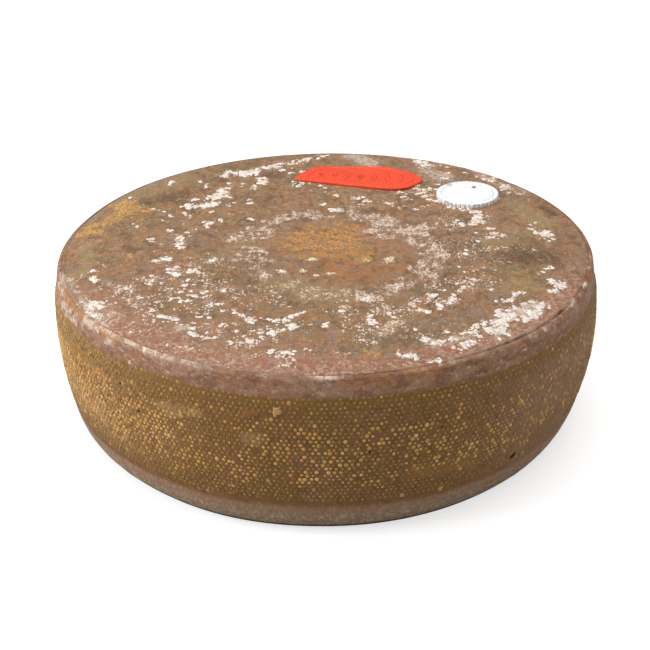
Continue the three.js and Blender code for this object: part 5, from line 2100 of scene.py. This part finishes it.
@dataclass
class RedPlaque:
    """A thin pressed plaque of red casein with a raised rim line and a row of plain lozenges."""

    seat: Seat
    finish: CaseinFinish
    corners: tuple[Point, ...] = (
        (40.6, 1.3),
        (32.6, 12.2),
        (13, 19.8),
        (-30.3, 13.4),
        (-38.8, -2),
        (-38, -10.2),
        (23, -16.8),
        (32.4, -13.2),
    )
    rounding: float = 6.0
    plate: float = 1.6
    relief: float = 0.6
    edge_round: float = 0.5
    rim_scale: tuple[float, float] = (0.82, 0.86)
    lozenges: int = 7
    lozenge_length: float = 5.6
    lozenge_spacing: float = 8.2
    lozenge_widths: tuple[float, float] = (9.0, 17.0)
    around: int = 320
    rings: int = 72

    def outline(self) -> Array:
        """The outline where the plaque lies on the wheel, in millimetres."""
        flat = rounded_outline(self.corners, self.rounding, 7)
        return self.seat.place(np.column_stack([flat, np.zeros(len(flat))]))[:, :2]

    def build(self) -> bpy.types.Object:
        """Makes the plaque.

        Returns:
            The finished piece.
        """
        edge = even_outline(rounded_outline(self.corners, self.rounding, 7), self.around)
        ragged = 0.16 * rough_noise(np.column_stack([edge, np.zeros(len(edge))]), 5.0, 81)
        edge = edge * (1 + ragged / np.hypot(*edge.T))[:, None]
        rows = [(0.97, 0.0), (1.0, 0.15), (1.0, self.plate - self.edge_round)]
        for step in (0.35, 0.7, 1.0):
            bend = step * math.pi / 2
            inset = self.edge_round * (1 - math.cos(bend)) / 24
            rows.append((1 - inset, self.plate - self.edge_round * (1 - math.sin(bend))))
        last = rows[-1][0]
        rows += [(last * share, self.plate) for share in np.linspace(1, 0, self.rings)[1:-1]]
        rings = [np.column_stack([edge * scale, np.full(self.around, z)]) for scale, z in rows]
        flat, faces = surface_through([middle_place(0.0), *rings, middle_place(self.plate)])
        scale = np.concatenate([[0.0], *[[row[0]] * self.around for row in rows], [0.0]])
        height = self._height(flat, scale)
        on_top = ease(flat[:, 2], self.plate - 0.1, self.plate)
        shaped = flat.copy()
        shaped[:, 2] += on_top * height + self._bend(flat)
        piece = make_piece("plaque", self.seat.place(shaped), faces)
        # painted shade on the slopes of the relief
        store(piece, "hollow_shade", on_top * hump(height, 0.16, 0.16))
        store(piece, "edge", ease(scale, 0.9, 0.99))
        store(piece, "stain", np.zeros(len(flat)))
        piece.data.materials.append(self.finish.build())
        return piece

    def _height(self, flat: Array, scale: Array) -> Array:
        """Relief of the plaque's face above its plate."""
        low, high = self.rim_scale
        rim = hump(scale, (low + high) / 2, (high - low) * 0.9)
        raised = [rim]
        for number in range(self.lozenges):
            middle = (number - (self.lozenges - 1) / 2) * self.lozenge_spacing
            share = number / (self.lozenges - 1)
            width = self.lozenge_widths[0] * (1 - share) + self.lozenge_widths[1] * share
            off = np.abs(flat[:, 0] - middle) / (self.lozenge_length / 2) + np.abs(flat[:, 1]) / (width / 2)
            raised.append((1 - ease(off, 0.82, 1.05)) * (0.55 + 0.45 * ease(off, 0.35, 0.62)))
        worn = 0.75 + 0.35 * rough_noise(flat, 11.0, 83)
        wrinkles = 0.06 * rough_noise(flat, 4.0, 85)
        return self.relief * np.max(raised, axis=0) * np.clip(worn, 0.3, 1.0) + wrinkles

    def _bend(self, flat: Array) -> Array:
        """How the plaque lies: a little wavy, and lifted at its lower right end."""
        lifted = 0.9 * ease(flat[:, 0] - 0.9 * flat[:, 1], 30, 46)
        waves = 0.12 * np.sin(flat[:, 0] / 7.5) * ease(np.abs(flat[:, 1]), 8, 18)
        return lifted + waves


@dataclass
class WhiteDisc:
    """A white casein disc with a ribbed edge, an engraved ring and a ring of plain dots."""

    seat: Seat
    finish: CaseinFinish
    radius: float = 18.5
    thickness: float = 3.1
    ribs: int = 42
    rib_depth: float = 0.75
    ring_radius: float = 15.5
    ring_width: float = 0.5
    ring_depth: float = 0.3
    dots: int = 12
    dot_circle: float = 11.5
    dot_radius: float = 0.7
    dot_height: float = 0.22
    dashes: tuple[tuple[float, int, float, float], ...] = ((8.3, 26, 0.35, 0.1), (13.6, 44, 0.3, 0.3))
    stains: tuple[tuple[Point, float, float], ...] = (((4.7, 8.4), 1.9, 1.0), ((-9.8, 13.3), 2.8, 0.4))
    per_rib: int = 12
    edge_round: float = 0.55

    def outline(self) -> Array:
        """The outline where the disc lies on the wheel, in millimetres."""
        ring = ring_of(self.radius, directions(90), 0.0)
        return ring[:, :2] + (self.seat.x, self.seat.y)

    def build(self) -> bpy.types.Object:
        """Makes the disc.

        Returns:
            The finished piece.
        """
        rows = [(self.radius - 0.3, 0.0, 1.0), (self.radius, 0.2, 1.0)]
        wall_top = self.thickness - self.edge_round
        rows += [(self.radius, z, 1.0) for z in np.linspace(0.8, wall_top, 4)]
        for step in (0.3, 0.6, 1.0):
            bend = step * math.pi / 2
            inset = self.edge_round * (1 - math.cos(bend))
            rows.append((self.radius - inset, wall_top + self.edge_round * math.sin(bend), 1 - 0.35 * step))
        inner = self.radius - np.array([0.9, 1.4, 1.8, 2.1, 2.4])
        ring = self.ring_radius + np.arange(0.4, -0.4, -0.09)
        middle = [*np.arange(self.ring_radius - 0.6, 4.0, -0.32), 3.4, 2.6, 1.8, 1.0]
        for radius in (*inner, *ring, *middle):
            rows.append((radius, self.thickness, max(0.0, (radius - self.radius + 1.4) * 0.5)))
        angle = directions(self.ribs * self.per_rib)
        notch = self.rib_depth * (1 - ease(np.cos(angle * self.ribs), -0.95, -0.4))
        rings = [ring_of(radius - notch * share, angle, z) for radius, z, share in rows]
        flat, faces = surface_through([middle_place(0.0), *rings, middle_place(self.thickness)])
        height, hollow_shade = self._height(flat)
        on_top = ease(flat[:, 2], self.thickness - 0.05, self.thickness)
        flat[:, 2] += on_top * height
        piece = make_piece("disc", self.seat.place(flat), faces)
        radius = np.hypot(flat[:, 0], flat[:, 1])
        wall_hollow = np.concatenate([[0.0], *[notch / self.rib_depth * row[2] for row in rows], [0.0]])
        # painted shade in the engraved ring, the dashes and the notches of the ribs
        store(piece, "hollow_shade", np.maximum(on_top * hollow_shade, 0.2 * wall_hollow))
        store(piece, "edge", ease(radius, self.radius - 1.2, self.radius - 0.2) * (1 - 0.75 * on_top))
        notched = 0.6 * ease(wall_hollow, 0.85, 1.0) * (1 - ease(flat[:, 2], 0.6, 1.6))
        store(piece, "stain", np.maximum(on_top * self._stains(flat), notched))
        piece.data.materials.append(self.finish.build())
        return piece

    def _height(self, flat: Array) -> tuple[Array, Array]:
        """Relief of the disc's face, and how much painted shade its groove and dashes get."""
        radius, angle = np.hypot(flat[:, 0], flat[:, 1]), np.arctan2(flat[:, 1], flat[:, 0])
        groove = 1 - ease(np.abs(radius - self.ring_radius), self.ring_width * 0.3, self.ring_width * 0.62)
        part = 2 * np.pi / self.dots
        nearest = np.round(angle / part) * part
        off_x = flat[:, 0] - self.dot_circle * np.cos(nearest)
        off_y = flat[:, 1] - self.dot_circle * np.sin(nearest)
        dots = 1 - ease(np.hypot(off_x, off_y), self.dot_radius * 0.7, self.dot_radius * 1.15)
        faint = np.zeros(len(flat))
        for start, (middle, count, half, gap) in zip((0.0, 0.4), self.dashes):
            ring = 1 - ease(np.abs(radius - middle), half, half + 0.25)
            faint = np.maximum(faint, (np.cos(angle * count + start) > gap) * ring)
        height = self.dot_height * dots - self.ring_depth * groove - 0.14 * faint
        return height + 0.05 * rough_noise(flat, 6.0, 87), np.maximum(groove, 0.6 * faint)

    def _stains(self, flat: Array) -> Array:
        """Dirt on the disc: a dark chip and a yellow smear."""
        found = []
        for spot, size, strength in self.stains:
            local = turned(*spot, math.radians(-self.seat.turn))
            away = np.hypot(flat[:, 0] - local[0], (flat[:, 1] - local[1]))
            found.append(strength * (1 - ease(away + 0.5 * rough_noise(flat, 1.5, 89), 0.5 * size, size)))
        return np.max(found, axis=0)


# ---- Studio --------------------------------------------------------------------------------


@dataclass(frozen=True)
class Softbox:
    """A square light of soft edges that faces the wheel."""

    name: str
    place: tuple[float, float, float]
    size: float
    power: float

    def build(self, aim: Vector) -> None:
        """Adds the light and turns it to the wheel."""
        data = bpy.data.lights.new(self.name, "AREA")
        data.shape, data.size, data.energy = "SQUARE", self.size, self.power
        light = show(self.name, data)
        light.location = self.place
        light.rotation_euler = (aim - light.location).to_track_quat("-Z", "Y").to_euler()


@dataclass
class Studio:
    """A white sweep, soft lights and the camera, all turned to one place over the floor."""

    aim_height: float = 45.0
    focal_length: float = 75.0
    sensor: float = 36.0
    distance: float = 771.0
    elevation: float = 27.6
    roll: float = -0.86
    aim_drop: float = 4.03
    aim_left: float = 0.74
    floor_size: float = 14.0
    floor_colour: Colour = (0.6, 0.6, 0.6, 1.0)
    floor_glow: float = 0.67
    world_light: float = 0.3
    lights: tuple[Softbox, ...] = (
        Softbox("key_left", (-1.4, -0.3, 0.75), 0.9, 17.0),
        Softbox("overhead", (0.0, 0.3, 1.7), 1.6, 20.0),
        Softbox("fill_right", (1.5, -0.5, 0.35), 1.0, 3.4),
    )

    def build(self) -> None:
        """Makes the floor, the lights, the world and the camera."""
        self._floor()
        aim = Vector((0, 0, self.aim_height)) * MM
        for light in self.lights:
            light.build(aim)
        self._world()
        self._camera(aim)
        scene = bpy.context.scene
        scene.view_settings.view_transform = "Standard"
        scene.view_settings.look = "None"

    def _floor(self) -> None:
        """A plain white floor."""
        half = self.floor_size / 2
        mesh = bpy.data.meshes.new("floor")
        corners = [(-half, -half, 0), (half, -half, 0), (half, half, 0), (-half, half, 0)]
        mesh.from_pydata(corners, [], [(0, 1, 2, 3)])
        floor = show("floor", mesh)
        paint = Paint("white_sweep")
        seen = paint.node("ShaderNodeLightPath").outputs["Is Camera Ray"]
        glow = paint.product(seen, self.floor_glow)
        plain = {"Emission_Color": WHITE, "Emission_Strength": glow, "Specular_IOR_Level": 0.0}
        mesh.materials.append(paint.finish(self.floor_colour, 0.9, **plain))

    def _world(self) -> None:
        """An even surround, white where the camera looks past the floor."""
        world = bpy.data.worlds.new("surround")
        world.use_nodes = True
        background = world.node_tree.nodes["Background"]
        wires = Wires(world.node_tree)
        seen = wires.node("ShaderNodeLightPath").outputs["Is Camera Ray"]
        strength = wires.node("ShaderNodeMapRange", Value=seen, To_Min=self.world_light, To_Max=1.0)
        wires.feed(background.inputs["Color"], WHITE)
        wires.feed(background.inputs["Strength"], strength.outputs["Result"])
        bpy.context.scene.world = world

    def _camera(self, middle: Vector) -> None:
        """The camera, a little above the wheel and slightly rolled."""
        data = bpy.data.cameras.new("camera")
        data.lens = self.focal_length
        data.sensor_width = self.sensor
        data.sensor_fit = "HORIZONTAL"
        data.clip_end = 100
        camera = show("camera", data)
        tilt = math.radians(self.elevation)
        back = Vector((0, -math.cos(tilt), math.sin(tilt)))
        up = Vector((0, math.sin(tilt), math.cos(tilt)))
        camera.location = middle + back * self.distance * MM
        aim = middle - up * self.aim_drop * MM - Vector((1, 0, 0)) * self.aim_left * MM
        turn = (aim - camera.location).to_track_quat("-Z", "Y").to_matrix().to_4x4()
        turn = turn @ Matrix.Rotation(math.radians(self.roll), 4, "Z")
        camera.matrix_world = Matrix.Translation(camera.location) @ turn
        bpy.context.scene.camera = camera


# ---- Build ---------------------------------------------------------------------------------


def hand_over(piece: bpy.types.Object, node: str | None = None) -> None:
    """Tells the frame what a piece rides on, and hides the CAD node it stands for.

    Args:
        piece: A finished piece.
        node: The CAD node it stands for, if any.
    """
    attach(piece, BODY)
    if node is not None:
        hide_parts(node)
    LOG.info("%s: %d faces", piece.name, len(piece.data.polygons))


def corners_of(node: str) -> tuple[Vector, Vector]:
    """Lowest and highest corner of a CAD node, in millimetres."""
    low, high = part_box(node)
    return low / MM, high / MM


def main() -> None:
    """Builds every piece around the frame."""
    logging.basicConfig(level=logging.INFO, format="%(message)s")
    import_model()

    low, high = corners_of("cheese_wheel")
    size = high - low
    shape = WheelShape(radius=(size.x + size.y) / 4, height=size.z)
    effects = Effects()

    plaque_low, _ = corners_of("red_plaque")
    disc_low, disc_high = corners_of("white_disc")
    disc_middle = (disc_low + disc_high) / 2
    # each label's second colour is its deeper tone, also used for the painted shade in its hollows
    tones = srgb(255, 80, 34), srgb(176, 32, 14), srgb(120, 60, 34)
    red = CaseinFinish("red_casein", effects, *tones, 0.5, 0.2, 0.36, 0.05)
    tones = srgb(254, 254, 255), srgb(186, 204, 220), srgb(84, 70, 44)
    white = CaseinFinish("white_casein", effects, *tones, 0.6, 0.04, 0.4, 0.05)
    plaque = RedPlaque(Seat(21.9, 96.7, plaque_low.z, -12.0), red)
    disc = WhiteDisc(Seat(disc_middle.x, disc_middle.y, disc_low.z, -18.0), white)

    seats = [(plaque.outline(), 1.2), (disc.outline(), 1.2)]
    wheel = Wheel(shape, RindFinish(effects), seats)
    hand_over(wheel.build(), "cheese_wheel")
    for piece in NetMarks(wheel, effects).build() + Flakes(wheel, FlakeFinish(effects)).build():
        hand_over(piece)
    hand_over(plaque.build(), "red_plaque")
    hand_over(disc.build(), "white_disc")

    Studio().build()


if __name__ == "__main__":
    main()
